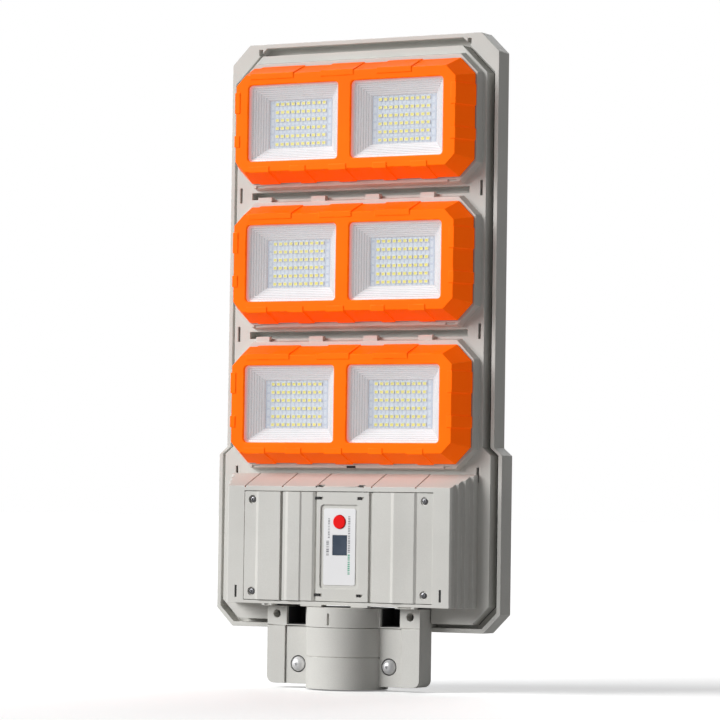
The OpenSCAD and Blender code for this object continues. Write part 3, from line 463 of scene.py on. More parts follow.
def siliconFinish(v):
    # dark cells with crystal patches and fine printed fingers
    material, tree, surface, place = newMaterial("solarSilicon")
    crystal = addNode(tree, "ShaderNodeTexVoronoi", {"Vector": place, "Scale": v["crystalScale"]})
    tint = addNode(tree, "ShaderNodeSeparateColor", {0: crystal.outputs["Color"]})
    color = mixColor(tree, tint.outputs[0], v["deep"], v["light"])
    parts = splitAxes(tree, place)
    row = mathNode(tree, "FRACT", mathNode(tree, "MULTIPLY", parts["Z"], v["fingerPitch"]))
    finger = mathNode(tree, "COMPARE", row, 0.5, v["fingerWidth"])
    color = mixColor(tree, mathNode(tree, "MULTIPLY", finger, 0.55), color, v["fingerColor"])
    feed(tree, surface, {
        "Base Color": color, "Roughness": rangeNode(tree, tint.outputs[1], 0.0, 1.0, 0.22, 0.36)})
    addBump(tree, surface, finger, 0.00002, 0.5)
    return material


siliconPaint = {
    "deep": (0.008, 0.014, 0.050), "light": (0.016, 0.030, 0.100), "crystalScale": 140.0,
    "fingerPitch": 480.0, "fingerWidth": 0.09, "fingerColor": (0.42, 0.45, 0.52),
}


def sensorFinish(v):
    material, tree, surface, place = newMaterial("slateWindow")
    grain = useGroup(tree, mouldGrain, place, Grain_Scale=1800.0, Flow_Scale=90.0)
    feed(tree, surface, {
        "Base Color": mixColor(tree, grain.outputs["Flow"], v["deep"], v["light"]),
        "Roughness": rangeNode(tree, grain.outputs["Flow"], 0.3, 0.7, 0.16, 0.24),
        "Coat Weight": 0.5, "Coat Roughness": 0.06})
    addBump(tree, surface, grain.outputs["Height"], 0.00001, 0.3)
    return material


slatePaint = {"deep": (0.030, 0.046, 0.075), "light": (0.050, 0.072, 0.110)}


def circuitFinish(v):
    # green mask with tracks that run square to each other
    material, tree, surface, place = newMaterial("greenCircuit")
    parts = splitAxes(tree, place)
    blocks = addNode(tree, "ShaderNodeTexVoronoi", {
        "Vector": place, "Scale": v["blockScale"]}, distance="CHEBYCHEV")
    choice = addNode(tree, "ShaderNodeSeparateColor", {0: blocks.outputs["Color"]})
    flat = mathNode(tree, "FRACT", mathNode(tree, "MULTIPLY", parts["X"], v["pitch"]))
    tall = mathNode(tree, "FRACT", mathNode(tree, "MULTIPLY", parts["Z"], v["pitch"]))
    chosen = addNode(tree, "ShaderNodeMix", {
        0: mathNode(tree, "ROUND", choice.outputs[0]), 2: flat, 3: tall})
    track = mathNode(tree, "COMPARE", chosen.outputs[0], 0.5, 0.18)
    feed(tree, surface, {"Base Color": mixColor(tree, track, v["mask"], v["track"]), "Roughness": 0.32})
    addBump(tree, surface, track, 0.00003, 0.6)
    return material


circuitPaint = {
    "mask": (0.010, 0.13, 0.05), "track": (0.02, 0.22, 0.08), "pitch": 700.0, "blockScale": 120.0}


def phosphorFinish(v):
    # soft yellow gel with fine grains of phosphor
    material, tree, surface, place = newMaterial("yellowPhosphor")
    grain = useGroup(tree, mouldGrain, place, Grain_Scale=4200.0, Flow_Scale=300.0)
    color = mixColor(tree, grain.outputs["Flow"], v["deep"], v["light"])
    grains = mathNode(tree, "MULTIPLY", grain.outputs["Speck"], 0.25)
    feed(tree, surface, {
        "Base Color": mixColor(tree, grains, color, v["speckColor"]),
        "Roughness": 0.25, "Coat Weight": 0.4})
    return material


phosphorPaint = {
    "deep": (0.84, 0.78, 0.08), "light": (0.93, 0.88, 0.16), "speckColor": (0.95, 0.93, 0.40)}
packagePaint = {
    "deep": (0.80, 0.81, 0.80), "light": (0.87, 0.88, 0.87), "speckColor": (0.72, 0.73, 0.73),
    "edgeWearAndHighlightColor": (0.9, 0.9, 0.9), "rough": 0.4, "grainScale": 3000.0, "grainDepth": 0.00002,
}
greyInk = {"deep": (0.16, 0.16, 0.18), "light": (0.26, 0.26, 0.28), "speckColor": (0.4, 0.4, 0.42),
           "edgeWearAndHighlightColor": (0.3, 0.3, 0.3), "rough": 0.5, "grainScale": 4000.0, "grainDepth": 0.00001}
greenInk = {"deep": (0.05, 0.36, 0.22), "light": (0.10, 0.46, 0.30), "speckColor": (0.3, 0.6, 0.45),
            "edgeWearAndHighlightColor": (0.1, 0.5, 0.3), "rough": 0.5, "grainScale": 4000.0, "grainDepth": 0.00001}

finish = {
    "housing": mouldedPlastic("warmGreyHousing", housingPaint),
    "bezel": mouldedPlastic("orangeBezel", bezelPaint),
    "black": mouldedPlastic("blackPlastic", blackPaint),
    "seal": mouldedPlastic("sealRubber", sealRubber),
    "button": mouldedPlastic("redButton", buttonPaint),
    "label": mouldedPlastic("labelFilm", labelPaint),
    "sleeve": mouldedPlastic("cellSleeve", cellSleeve),
    "wire": mouldedPlastic("wireSleeve", wireSleeve),
    "laminate": mouldedPlastic("backLaminate", backLaminate),
    "package": mouldedPlastic("chipPackage", packagePaint),
    "greyInk": mouldedPlastic("greyInk", greyInk),
    "greenInk": mouldedPlastic("greenInk", greenInk),
    "pin": drawnMetalFinish("zincScrew", pinHead),
    "shadedPin": drawnMetalFinish("shadedScrew", shadedHead),
    "dome": drawnMetalFinish("polishedDome", domeHead),
    "nickel": drawnMetalFinish("nickelStrip", nickelStrip),
    "can": drawnMetalFinish("sensorCan", canMetal),
    "ribbon": drawnMetalFinish("cellRibbon", ribbonMetal),
    "window": clearSheet("clearWindow", windowSheet),
    "panelGlass": clearSheet("panelGlass", panelSheet),
    "reflector": reflectorFinish("brightReflector", reflectorPaint),
    "reflectorRib": reflectorFinish("reflectorRib", ribPaint),
    "board": boardFinish(boardPaint),
    "silicon": siliconFinish(siliconPaint),
    "slate": sensorFinish(slatePaint),
    "circuit": circuitFinish(circuitPaint),
    "phosphor": phosphorFinish(phosphorPaint),
}
print("materials are built:", len(finish))


# ---- CAD nodes that keep their shape

def dress(node, material):
    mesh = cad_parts[node].data
    mesh.materials.clear()
    mesh.materials.append(material)


keptNodes = {
    "laminate": ["panel_backsheet"],
    "silicon": ["solar_cells"],
    "ribbon": ["cell_ribbons"],
    "panelGlass": ["solar_glass"],
    "seal": ["panel_seal", "housing_seal", "cover_seal",
             "gasket_bottom", "gasket_middle", "gasket_top"],
    "black": ["panel_terminal", "button_switch", "battery_holder"],
    "window": ["lens_bottom", "lens_middle", "lens_top"],
    "board": ["led_board_bottom", "led_board_middle", "led_board_top"],
    "circuit": ["control_board"],
    "can": ["motion_sensor"],
    "sleeve": ["battery_cells"],
    "nickel": ["battery_strips"],
    "wire": ["wiring"],
    "pin": ["clamp_nuts"],
}
for finishName, nodeNames in keptNodes.items():
    for nodeName in nodeNames:
        dress(nodeName, finish[finishName])
print("kept nodes are dressed")


# ---- moulded pieces with rounded edges

rounding = {
    "weld": 0.002,  # mm, how near two corners of a CAD node are one
    "flatWithin": 0.6,  # degrees
    "sharpFrom": 24.0,  # degrees, what counts as an edge to round
    "shortest": 0.4,  # mm
}


def weldedCopy(node):
    bm = bmesh.new()
    bm.from_mesh(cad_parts[node].data)
    bmesh.ops.remove_doubles(bm, verts=bm.verts, dist=rounding["weld"] * mm)
    return bm


def mergedCopy(node):
    # a merged copy of a CAD node's loose triangles, with flat faces joined up
    bm = weldedCopy(node)
    flat = math.radians(rounding["flatWithin"])
    bmesh.ops.dissolve_limit(bm, angle_limit=flat, verts=bm.verts, edges=bm.edges)
    bmesh.ops.connect_verts_concave(bm, faces=bm.faces)  # faces with holes don't survive the rounding
    return bm


def sharpEdges(bm, angle, shortest, accept=None):
    chosen = []
    for edge in bm.edges:
        if len(edge.link_faces) != 2 or edge.calc_length() < shortest:
            continue
        if edge.calc_face_angle(0.0) < math.radians(angle):
            continue
        if accept is None or accept(edge):
            chosen.append(edge)
    return chosen


def roundEdges(bm, edges, width, steps):
    layer = bm.faces.layers.float.get("edge") or bm.faces.layers.float.new("edge")
    made = bmesh.ops.bevel(
        bm, geom=edges, offset=width, offset_type="OFFSET", segments=steps,
        profile=0.5, affect="EDGES", clamp_overlap=False)
    for face in made["faces"]:
        face[layer] = 1.0


def placePiece(name, mesh, body, replaced):
    piece = bpy.data.objects.new(name, mesh)
    scene.collection.objects.link(piece)
    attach(piece, body)
    if replaced:
        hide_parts(*replaced)


def finishPiece(bm, name, body, material, replaced, facetAngle=9.0):
    # flat facets stay crisp beside each other, and only the rounded edges blend
    layer = bm.faces.layers.float.get("edge")
    for face in bm.faces:
        face.smooth = True
    for edge in bm.edges:
        rounded = any(face[layer] > 0.5 for face in edge.link_faces)
        edge.smooth = edge.calc_face_angle(0.0) < math.radians(40.0 if rounded else facetAngle)
    mesh = bpy.data.meshes.new(name)
    bm.to_mesh(mesh)
    bm.free()
    work = bpy.data.objects.new(name + "Work", mesh)
    scene.collection.objects.link(work)
    even = work.modifiers.new("evenNormals", "WEIGHTED_NORMAL")
    even.keep_sharp = True
    even.weight = 60
    graph = bpy.context.evaluated_depsgraph_get()
    done = bpy.data.meshes.new_from_object(work.evaluated_get(graph))
    bpy.data.objects.remove(work)
    done.name = name
    done.materials.clear()
    done.materials.append(material)
    placePiece(name, done, body, replaced)


shells = {
    # name: (CAD node, body, finish, slot, rounding in mm, steps, facet angle)
    "tray": ("rear_tray", "lamp", "housing", "housing", 0.5, 2, 12.0),
    "frontShell": ("front_housing", "lamp", "housing", "housing", 0.35, 2, 12.0),
    "controlBox": ("control_box", "lamp", "housing", "housing", 0.3, 2, 6.0),
    "boxCover": ("box_cover", "lamp", "housing", "housing", 0.2, 2, 2.0),
    "socket": ("arm_socket", "lamp", "housing", "housing", 0.35, 2, 16.0),
    "clampHalf": ("clamp_cap", "clamp_cap", "housing", "housing", 0.35, 2, 16.0),
    "reflectorLow": ("reflector_bottom", "lamp", "reflector", "reflector", 0.2, 1, 12.0),
    "reflectorMid": ("reflector_middle", "lamp", "reflector", "reflector", 0.2, 1, 12.0),
    "reflectorHigh": ("reflector_top", "lamp", "reflector", "reflector", 0.2, 1, 12.0),
    "button": ("power_button", "power_button", "button", "power_button", 0.5, 3, 20.0),
    "sensorCover": ("sensor_window", "lamp", "slate", "sensor_window", 0.2, 2, 20.0),
    "labelFilm": ("label_overlay", "lamp", "label", "label_overlay", 0.12, 1, 20.0),
    "domeScrewLeft": ("clamp_screw_left", "clamp_screw_left", "dome", "clamp_screw", 0.2, 2, 20.0),
    "domeScrewRight": ("clamp_screw_right", "clamp_screw_right", "dome", "clamp_screw", 0.2, 2, 20.0),
}
for pieceName, (node, body, look, slotName, width, steps, facet) in shells.items():
    bm = mergedCopy(node)
    edges = sharpEdges(bm, rounding["sharpFrom"], rounding["shortest"] * mm)
    roundEdges(bm, edges, width * mm, steps)
    finishPiece(bm, pieceName, body, finish[look], [node], facet)
print("moulded shells are rounded:", len(shells))


bezel = {
    "windowRound": 1.0,  # mm, along the edges of the windows
    "edgeRound": 0.4,
    "windowReach": 94.0,  # mm from the middle within which the window edges lie
    "padRise": 0.8,  # how far the pads stand out from the front
    "shortest": 0.45,  # shorter edges stay sharp
}


def makeBezel(node, name, v):
    low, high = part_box(node)
    middle = (low + high) / 2
    bm = mergedCopy(node)

    def onWindow(edge):
        for vertex in edge.verts:
            if abs(vertex.co.y - low.y - v["padRise"] * mm) > 0.02 * mm:
                return False
            if abs(vertex.co.x) > v["windowReach"] * mm - 5.0 * mm:
                return False
            if abs(vertex.co.z - middle.z) > (high.z - low.z) / 2 - 14.0 * mm:
                return False
        return True

    roundEdges(bm, sharpEdges(bm, 60.0, 0.05 * mm, onWindow), v["windowRound"] * mm, 3)
    layer = bm.faces.layers.float["edge"]
    rest = [
        e for e in sharpEdges(bm, rounding["sharpFrom"], v["shortest"] * mm)
        if not any(f[layer] > 0.5 for f in e.link_faces)]
    roundEdges(bm, rest, v["edgeRound"] * mm, 2)
    finishPiece(bm, name, "lamp", finish["bezel"], [node])


for node, name in (("bezel_bottom", "bezelLow"), ("bezel_middle", "bezelMid"), ("bezel_top", "bezelHigh")):
    makeBezel(node, name, bezel)
print("bezels are rounded")


# ---- repeated pieces by geometry nodes

def newNodes(name, inputs):
    tree = bpy.data.node_groups.new(name, "GeometryNodeTree")
    tree.interface.new_socket(name="Geometry", in_out="INPUT", socket_type="NodeSocketGeometry")
    for label, kind, value in inputs:
        item = tree.interface.new_socket(name=label, in_out="INPUT", socket_type=kind)
        if value is not None:
            item.default_value = value
    tree.interface.new_socket(name="Geometry", in_out="OUTPUT", socket_type="NodeSocketGeometry")
    return tree, addNode(tree, "NodeGroupInput"), addNode(tree, "NodeGroupOutput")


def endNodes(tree, give, geometry, materialSocket):
    real = addNode(tree, "GeometryNodeRealizeInstances", {0: geometry})
    paint = addNode(tree, "GeometryNodeSetMaterial", {
        "Geometry": real.outputs[0], "Material": materialSocket})
    feed(tree, give, {"Geometry": paint.outputs[0]})


def growPiece(name, tree, points, values, body, replaced, smooth=35.0):
    # runs a tree on a cloud of points and keeps the result as one plain mesh
    mesh = bpy.data.meshes.new(name + "Seeds")
    mesh.from_pydata([tuple(p) for p in points], [], [])
    seeds = bpy.data.objects.new(name + "Seeds", mesh)
    scene.collection.objects.link(seeds)
    step = seeds.modifiers.new("grow", "NODES")
    step.node_group = tree
    for item in tree.interface.items_tree:
        if item.in_out == "INPUT" and item.name in values:
            step[item.identifier] = values[item.name]
    graph = bpy.context.evaluated_depsgraph_get()
    done = bpy.data.meshes.new_from_object(
        seeds.evaluated_get(graph), preserve_all_data_layers=True, depsgraph=graph)
    seeds.modifiers.clear()
    bpy.data.objects.remove(seeds)
    done.name = name
    for polygon in done.polygons:
        polygon.use_smooth = True
    done.set_sharp_from_angle(angle=math.radians(smooth))
    placePiece(name, done, body, replaced)


def islands(node):
    # lowest and highest corner of each loose part of a CAD node
    bm = weldedCopy(node)
    seen, found = set(), []
    for start in bm.verts:
        if start in seen:
            continue
        stack, part = [start], []
        seen.add(start)
        while stack:
            vertex = stack.pop()
            part.append(vertex.co.copy())
            for edge in vertex.link_edges:
                other = edge.other_vert(vertex)
                if other not in seen:
                    seen.add(other)
                    stack.append(other)
        low = Vector([min(p[i] for p in part) for i in range(3)])
        high = Vector([max(p[i] for p in part) for i in range(3)])
        found.append((low, high))
    bm.free()
    return found


def screwTree():
    tree, take, give = newNodes("crossScrews", [
        ("Screw", "NodeSocketObject", None), ("Facing", "NodeSocketFloat", 0.0),
        ("Seed", "NodeSocketInt", 3), ("Material", "NodeSocketMaterial", None)])
    info = addNode(tree, "GeometryNodeObjectInfo", {
        "Object": take.outputs["Screw"], "As Instance": True})
    spin = addNode(tree, "FunctionNodeRandomValue", {
        2: 0.0, 3: math.tau, "Seed": take.outputs["Seed"]}, data_type="FLOAT")
    turn = addNode(tree, "ShaderNodeCombineXYZ", {"Y": spin.outputs[1], "Z": take.outputs["Facing"]})
    place = addNode(tree, "GeometryNodeInstanceOnPoints", {
        "Points": take.outputs["Geometry"], "Instance": info.outputs["Geometry"],
        "Rotation": turn.outputs[0]})
    endNodes(tree, give, place.outputs[0], take.outputs["Material"])
    return tree


def screwShape(headR, headH, shankR, length):
    # cross-recessed pan head that looks along -Y, its seat at y = 0
    bm = bmesh.new()
    rings = [(shankR, length), (shankR, 0.0), (headR, 0.0), (headR, -0.45 * headH),
             (0.86 * headR, -0.82 * headH), (0.66 * headR, -headH)]
    sides = 24
    loops = []
    for radius, y in rings:
        loops.append([
            bm.verts.new((radius * math.cos(math.tau * k / sides), y, radius * math.sin(math.tau * k / sides)))
            for k in range(sides)])
    for first, second in zip(loops, loops[1:]):
        for k in range(sides):
            bm.faces.new((first[k], second[k], second[(k + 1) % sides], first[(k + 1) % sides]))
    bm.faces.new(list(reversed(loops[0])))
    arm, half = 0.56 * headR, 0.13 * headR
    plus = [(arm, half), (half, half), (half, arm), (-half, arm), (-half, half), (-arm, half),
            (-arm, -half), (-half, -half), (-half, -arm), (half, -arm), (half, -half), (arm, -half)]
    top = [bm.verts.new((x, -headH, z)) for x, z in plus]
    floor = [bm.verts.new((0.8 * x, -0.35 * headH, 0.8 * z)) for x, z in plus]
    for k in range(12):
        bm.faces.new((top[k], top[(k + 1) % 12], floor[(k + 1) % 12], floor[k]))
    bm.faces.new(floor)
    outer = [bm.edges.get((loops[-1][k], loops[-1][(k + 1) % sides])) for k in range(sides)]
    inner = [bm.edges.get((top[k], top[(k + 1) % 12])) for k in range(12)]
    bmesh.ops.triangle_fill(
        bm, use_beauty=True, use_dissolve=False, edges=outer + inner, normal=(0.0, -1.0, 0.0))
    bmesh.ops.recalc_face_normals(bm, faces=bm.faces)
    mesh = bpy.data.meshes.new("screwShape")
    bm.to_mesh(mesh)
    bm.free()
    shape = bpy.data.objects.new("screwShape", mesh)
    scene.collection.objects.link(shape)
    return shape


screwSets = {
    # piece name: (CAD node, head height in mm, shank radius in mm, the way the heads look, finish)
    # the cover and socket screws take the darker screw finish: painted shade of their recesses
    "coverScrews": ("cover_screws", 1.1, 1.5, -1, "shadedPin"),
    "boxScrews": ("box_screws", 1.7, 1.5, 1, "pin"),
    "shellScrews": ("shell_screws", 1.7, 1.5, 1, "pin"),
    "bezelScrews": ("bezel_screws", 1.7, 1.5, 1, "pin"),
    "boardScrews": ("board_screws", 1.3, 1.0, 1, "pin"),
    "socketScrews": ("socket_screws", 1.7, 1.5, -1, "shadedPin"),
}
crossScrews = screwTree()
for pieceName, (node, headH, shankR, way, look) in screwSets.items():
    parts = islands(node)
    headR = (parts[0][1].x - parts[0][0].x) / 2
    length = min(high.y - low.y for low, high in parts) - headH * mm
    seats = [
        ((low.x + high.x) / 2, (low.y if way < 0 else high.y) - way * headH * mm, (low.z + high.z) / 2)
        for low, high in parts]
    shape = screwShape(headR, headH * mm, shankR * mm, length)
    growPiece(pieceName, crossScrews, seats, {
        "Screw": shape, "Facing": 0.0 if way < 0 else math.pi, "Seed": len(pieceName),
        "Material": finish[look]}, "lamp", [node])
    bpy.data.objects.remove(shape)
print("screws are set:", len(screwSets))


def chipTree():
    # a chip package with a sunk window of phosphor, on a grid round each point
    tree, take, give = newNodes("chipGrid", [
        ("Columns", "NodeSocketInt", 10), ("Rows", "NodeSocketInt", 6),
        ("Grid Width", "NodeSocketFloat", 0.04), ("Grid Height", "NodeSocketFloat", 0.03),
        ("Chip Size", "NodeSocketVector", (0.0035, 0.0007, 0.0028)),
        ("Window", "NodeSocketFloat", 0.74), ("Sink", "NodeSocketFloat", -0.0001),
        ("Material", "NodeSocketMaterial", None), ("Phosphor", "NodeSocketMaterial", None)])
    cube = addNode(tree, "GeometryNodeMeshCube", {"Size": take.outputs["Chip Size"]})
    normal = addNode(tree, "GeometryNodeInputNormal").outputs[0]
    parts = addNode(tree, "ShaderNodeSeparateXYZ", {0: normal})
    front = addNode(tree, "FunctionNodeCompare", {0: parts.outputs["Y"], 1: -0.5},
                    data_type="FLOAT", operation="LESS_THAN")
    inset = addNode(tree, "GeometryNodeExtrudeMesh", {
        "Mesh": cube.outputs["Mesh"], "Selection": front.outputs[0], "Offset Scale": 0.0}, mode="FACES")
    shrink = addNode(tree, "GeometryNodeScaleElements", {
        "Geometry": inset.outputs["Mesh"], "Selection": inset.outputs["Top"],
        "Scale": take.outputs["Window"]})
    sink = addNode(tree, "GeometryNodeExtrudeMesh", {
        "Mesh": shrink.outputs[0], "Selection": inset.outputs["Top"],
        "Offset Scale": take.outputs["Sink"]}, mode="FACES")
    mark = addNode(tree, "GeometryNodeStoreNamedAttribute", {
        "Name": "phosphor", "Geometry": sink.outputs["Mesh"], "Value": sink.outputs["Top"]},
        data_type="BOOLEAN", domain="FACE")

    grid = addNode(tree, "GeometryNodeMeshGrid", {
        "Size X": take.outputs["Grid Width"], "Size Y": take.outputs["Grid Height"],
        "Vertices X": take.outputs["Columns"], "Vertices Y": take.outputs["Rows"]})
    stand = addNode(tree, "GeometryNodeTransform", {
        "Geometry": grid.outputs["Mesh"], "Rotation": (math.pi / 2, 0.0, 0.0)})
    chips = addNode(tree, "GeometryNodeInstanceOnPoints", {
        "Points": stand.outputs[0], "Instance": mark.outputs[0]})
    boards = addNode(tree, "GeometryNodeInstanceOnPoints", {
        "Points": take.outputs["Geometry"], "Instance": chips.outputs[0]})

    real = addNode(tree, "GeometryNodeRealizeInstances", {0: boards.outputs[0]})
    paint = addNode(tree, "GeometryNodeSetMaterial", {
        "Geometry": real.outputs[0], "Material": take.outputs["Material"]})
    marked = addNode(tree, "GeometryNodeInputNamedAttribute", {"Name": "phosphor"}, data_type="BOOLEAN")
    glow = addNode(tree, "GeometryNodeSetMaterial", {
        "Geometry": paint.outputs[0], "Selection": marked.outputs[0],
        "Material": take.outputs["Phosphor"]})
    feed(tree, give, {"Geometry": glow.outputs[0]})
    return tree


chips = {
    "columns": 10, "rows": 6,
    "size": (3.5, 0.7, 2.8),  # mm
    "edgeX": 7.0, "edgeZ": 2.9,  # mm from the board's edge to the outer chips' centres
    "window": 0.76, "sink": 0.12,
}
chipGrid = chipTree()
boardParts = [
    part for node in ("led_board_bottom", "led_board_middle", "led_board_top") for part in islands(node)]
boardWide = boardParts[0][1].x - boardParts[0][0].x
boardTall = boardParts[0][1].z - boardParts[0][0].z
boardSpots = [
    ((low.x + high.x) / 2, low.y - chips["size"][1] * mm / 2, (low.z + high.z) / 2) for low, high in boardParts]
growPiece("ledChips", chipGrid, boardSpots, {
    "Columns": chips["columns"], "Rows": chips["rows"],
    "Grid Width": boardWide - 2 * chips["edgeX"] * mm, "Grid Height": boardTall - 2 * chips["edgeZ"] * mm,
    "Chip Size": [s * mm for s in chips["size"]], "Window": chips["window"], "Sink": -chips["sink"] * mm,
    "Material": finish["package"], "Phosphor": finish["phosphor"]},
    "lamp", ["led_chips_bottom", "led_chips_middle", "led_chips_top"], 20.0)
print("chips are placed:", len(boardSpots) * chips["columns"] * chips["rows"])


def ribTree():
    # thin rims that run round a well, each smaller and deeper than the last
    tree, take, give = newNodes("wellRibs", [
        ("Wide", "NodeSocketFloat", 0.078), ("Tall", "NodeSocketFloat", 0.058), ("Depth", "NodeSocketFloat", 0.01),
        ("End Wide", "NodeSocketFloat", 0.72), ("End Tall", "NodeSocketFloat", 0.65),
        ("Ribs", "NodeSocketInt", 6), ("Rib Size", "NodeSocketFloat", 0.0005),
        ("Material", "NodeSocketMaterial", None)])
    rim = addNode(tree, "GeometryNodeCurvePrimitiveQuadrilateral", {
        "Width": take.outputs["Wide"], "Height": take.outputs["Tall"]})
    stand = addNode(tree, "GeometryNodeTransform", {
        "Geometry": rim.outputs[0], "Rotation": (math.pi / 2, 0.0, 0.0)})
    profile = addNode(tree, "GeometryNodeCurvePrimitiveCircle", {
        "Resolution": 6, "Radius": take.outputs["Rib Size"]})
    sweep = addNode(tree, "GeometryNodeCurveToMesh", {
        "Curve": stand.outputs[0], "Profile Curve": profile.outputs["Curve"]})

    line = addNode(tree, "GeometryNodeMeshLine", {"Count": take.outputs["Ribs"]})
    number = addNode(tree, "GeometryNodeInputIndex").outputs[0]
    share = mathNode(tree, "DIVIDE", mathNode(tree, "ADD", number, 0.5), take.outputs["Ribs"])
    drop = addNode(tree, "ShaderNodeCombineXYZ", {
        "Y": mathNode(tree, "MULTIPLY", share, take.outputs["Depth"])})
    spots = addNode(tree, "GeometryNodeSetPosition", {
        "Geometry": line.outputs["Mesh"], "Position": drop.outputs[0]})
    size = addNode(tree, "ShaderNodeCombineXYZ", {"Y": 1.0})
    for axis, label in (("X", "End Wide"), ("Z", "End Tall")):
        loss = mathNode(tree, "MULTIPLY", share, mathNode(tree, "SUBTRACT", take.outputs[label], 1.0))
        feed(tree, size, {axis: mathNode(tree, "ADD", loss, 1.0)})
    stack = addNode(tree, "GeometryNodeInstanceOnPoints", {
        "Points": spots.outputs[0], "Instance": sweep.outputs[0], "Scale": size.outputs[0]})
    wells = addNode(tree, "GeometryNodeInstanceOnPoints", {
        "Points": take.outputs["Geometry"], "Instance": stack.outputs[0]})
    endNodes(tree, give, wells.outputs[0], take.outputs["Material"])
    return tree


wellRibs = {
    "wide": 78.35, "tall": 57.8,  # mm, at the front of a well
    "ribs": 7,
    "ribSize": 0.42,
}
ribGrid = ribTree()
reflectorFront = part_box("reflector_bottom")[0].y
growPiece("reflectorRibs", ribGrid, [(x, reflectorFront, z) for x, y, z in boardSpots], {
    "Wide": wellRibs["wide"] * mm, "Tall": wellRibs["tall"] * mm, "Depth": boardParts[0][0].y - reflectorFront,
    "End Wide": boardWide / (wellRibs["wide"] * mm), "End Tall": boardTall / (wellRibs["tall"] * mm),
    "Ribs": wellRibs["ribs"], "Rib Size": wellRibs["ribSize"] * mm, "Material": finish["reflectorRib"]},
    "lamp", [], 60.0)
print("reflector ribs are set")


domeShadeRing = {
    "inner": 5.86,  # mm, just outside a dome head
    "outer": 6.62,
    "headHigh": 5.0,
    "gap": 0.06,  # behind the head
    "rise": 0.8,  # above the floor of the counterbore
    "round": 0.1,
    "sides": 64,
}


def addDomeShadeRing(name, node, v):
    # painted shade: a dark ring that fills the gap between a dome head and its counterbore, where there is only
    # shade
    low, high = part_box(node)
    middle = (low + high) / 2
    back = low.y + (v["headHigh"] + v["gap"]) * mm
    front = back - v["rise"] * mm
    bm = bmesh.new()
    loops = []
    for radius, y in ((v["inner"], front), (v["outer"], front), (v["outer"], back), (v["inner"], back)):
        turns = [math.tau * i / v["sides"] for i in range(v["sides"])]
        loops.append([
            bm.verts.new((middle.x + radius * mm * math.cos(t), y, middle.z + radius * mm * math.sin(t)))
            for t in turns])
    for first, second in zip(loops, loops[1:] + loops[:1]):
        for i in range(v["sides"]):
            after = (i + 1) % v["sides"]
            bm.faces.new((first[i], second[i], second[after], first[after]))
    bmesh.ops.recalc_face_normals(bm, faces=bm.faces)
    roundEdges(bm, sharpEdges(bm, 60.0, 0.0), v["round"] * mm, 2)
    finishPiece(bm, name, "clamp_cap", finish["seal"], [], 12.0)


addDomeShadeRing("domeSealLeft", "clamp_screw_left", domeShadeRing)
addDomeShadeRing("domeSealRight", "clamp_screw_right", domeShadeRing)
print("dome head seals are set")


# painted shade: dark sheets inside the deep windows beside the tube
windowLiner = {
    "inner": 33.3,  # mm, the window beside the tube, from the middle outwards
    "outer": 50.5,
    "foot": 48.9,
    "floor": 14.0,
    "front": -6.0,
    "inset": 0.45,
    "wall": 0.3,
    "hole": 2.9,  # clear of the screw head on the floor
    "holeSides": 40,
}


def addWindowShadeSheet(name, side, screw, v):
    # painted shade: a dark sheet lining a deep window where there is only shade: floor with a hole for its screw,
    # and three walls
    ends = sorted((side * (v["inner"] + v["inset"]) * mm, side * (v["outer"] - v["inset"]) * mm))
    foot = (v["foot"] + v["inset"]) * mm
    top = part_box("arm_socket")[1].z - v["inset"] * mm
    floorY = (v["floor"] - v["inset"]) * mm
    frontY = v["front"] * mm
    bm = bmesh.new()
    corners = [bm.verts.new((x, floorY, z)) for x, z in (
        (ends[0], top), (ends[0], foot), (ends[1], foot), (ends[1], top))]
    rim = [
        bm.verts.new((
            screw.x + v["hole"] * mm * math.cos(math.tau * i / v["holeSides"]), floorY,
            screw.z + v["hole"] * mm * math.sin(math.tau * i / v["holeSides"])))
        for i in range(v["holeSides"])]
    border = [bm.edges.new(pair) for loop in (corners, rim) for pair in zip(loop, loop[1:] + loop[:1])]
    bmesh.ops.triangle_fill(bm, edges=border, use_beauty=True, use_dissolve=False)
    lifted = [bm.verts.new((c.co.x, frontY, c.co.z)) for c in corners]
    for i in range(3):
        bm.faces.new((corners[i], corners[i + 1], lifted[i + 1], lifted[i]))
    bmesh.ops.recalc_face_normals(bm, faces=bm.faces)
    bmesh.ops.solidify(bm, geom=bm.faces[:], thickness=v["wall"] * mm)
    bmesh.ops.recalc_face_normals(bm, faces=bm.faces)
    bm.faces.layers.float.new("edge")
    finishPiece(bm, name, "lamp", finish["seal"], [], 12.0)


for low, high in islands("socket_screws"):
    middle = (low + high) / 2
    if abs(middle.x) < windowLiner["outer"] * mm:
        side = 1 if middle.x > 0 else -1
        addWindowShadeSheet("windowLiner" + ("Right" if side > 0 else "Left"), side, middle, windowLiner)
print("window liners are set")


def fillTree():
    # one small block at each point
    tree, take, give = newNodes("slotShade", (
        ("Width", "NodeSocketFloat", 0.005), ("Depth", "NodeSocketFloat", 0.001),
        ("Height", "NodeSocketFloat", 0.002), ("Material", "NodeSocketMaterial", None)))
    size = addNode(tree, "ShaderNodeCombineXYZ", {
        "X": take.outputs["Width"], "Y": take.outputs["Depth"], "Z": take.outputs["Height"]})
    block = addNode(tree, "GeometryNodeMeshCube", {"Size": size.outputs[0]})
    cloud = addNode(tree, "GeometryNodeMeshToPoints", {"Mesh": take.outputs["Geometry"]})
    spread = addNode(tree, "GeometryNodeInstanceOnPoints", {
        "Points": cloud.outputs["Points"], "Instance": block.outputs["Mesh"]})
    endNodes(tree, give, spread.outputs["Instances"], take.outputs["Material"])
    return tree


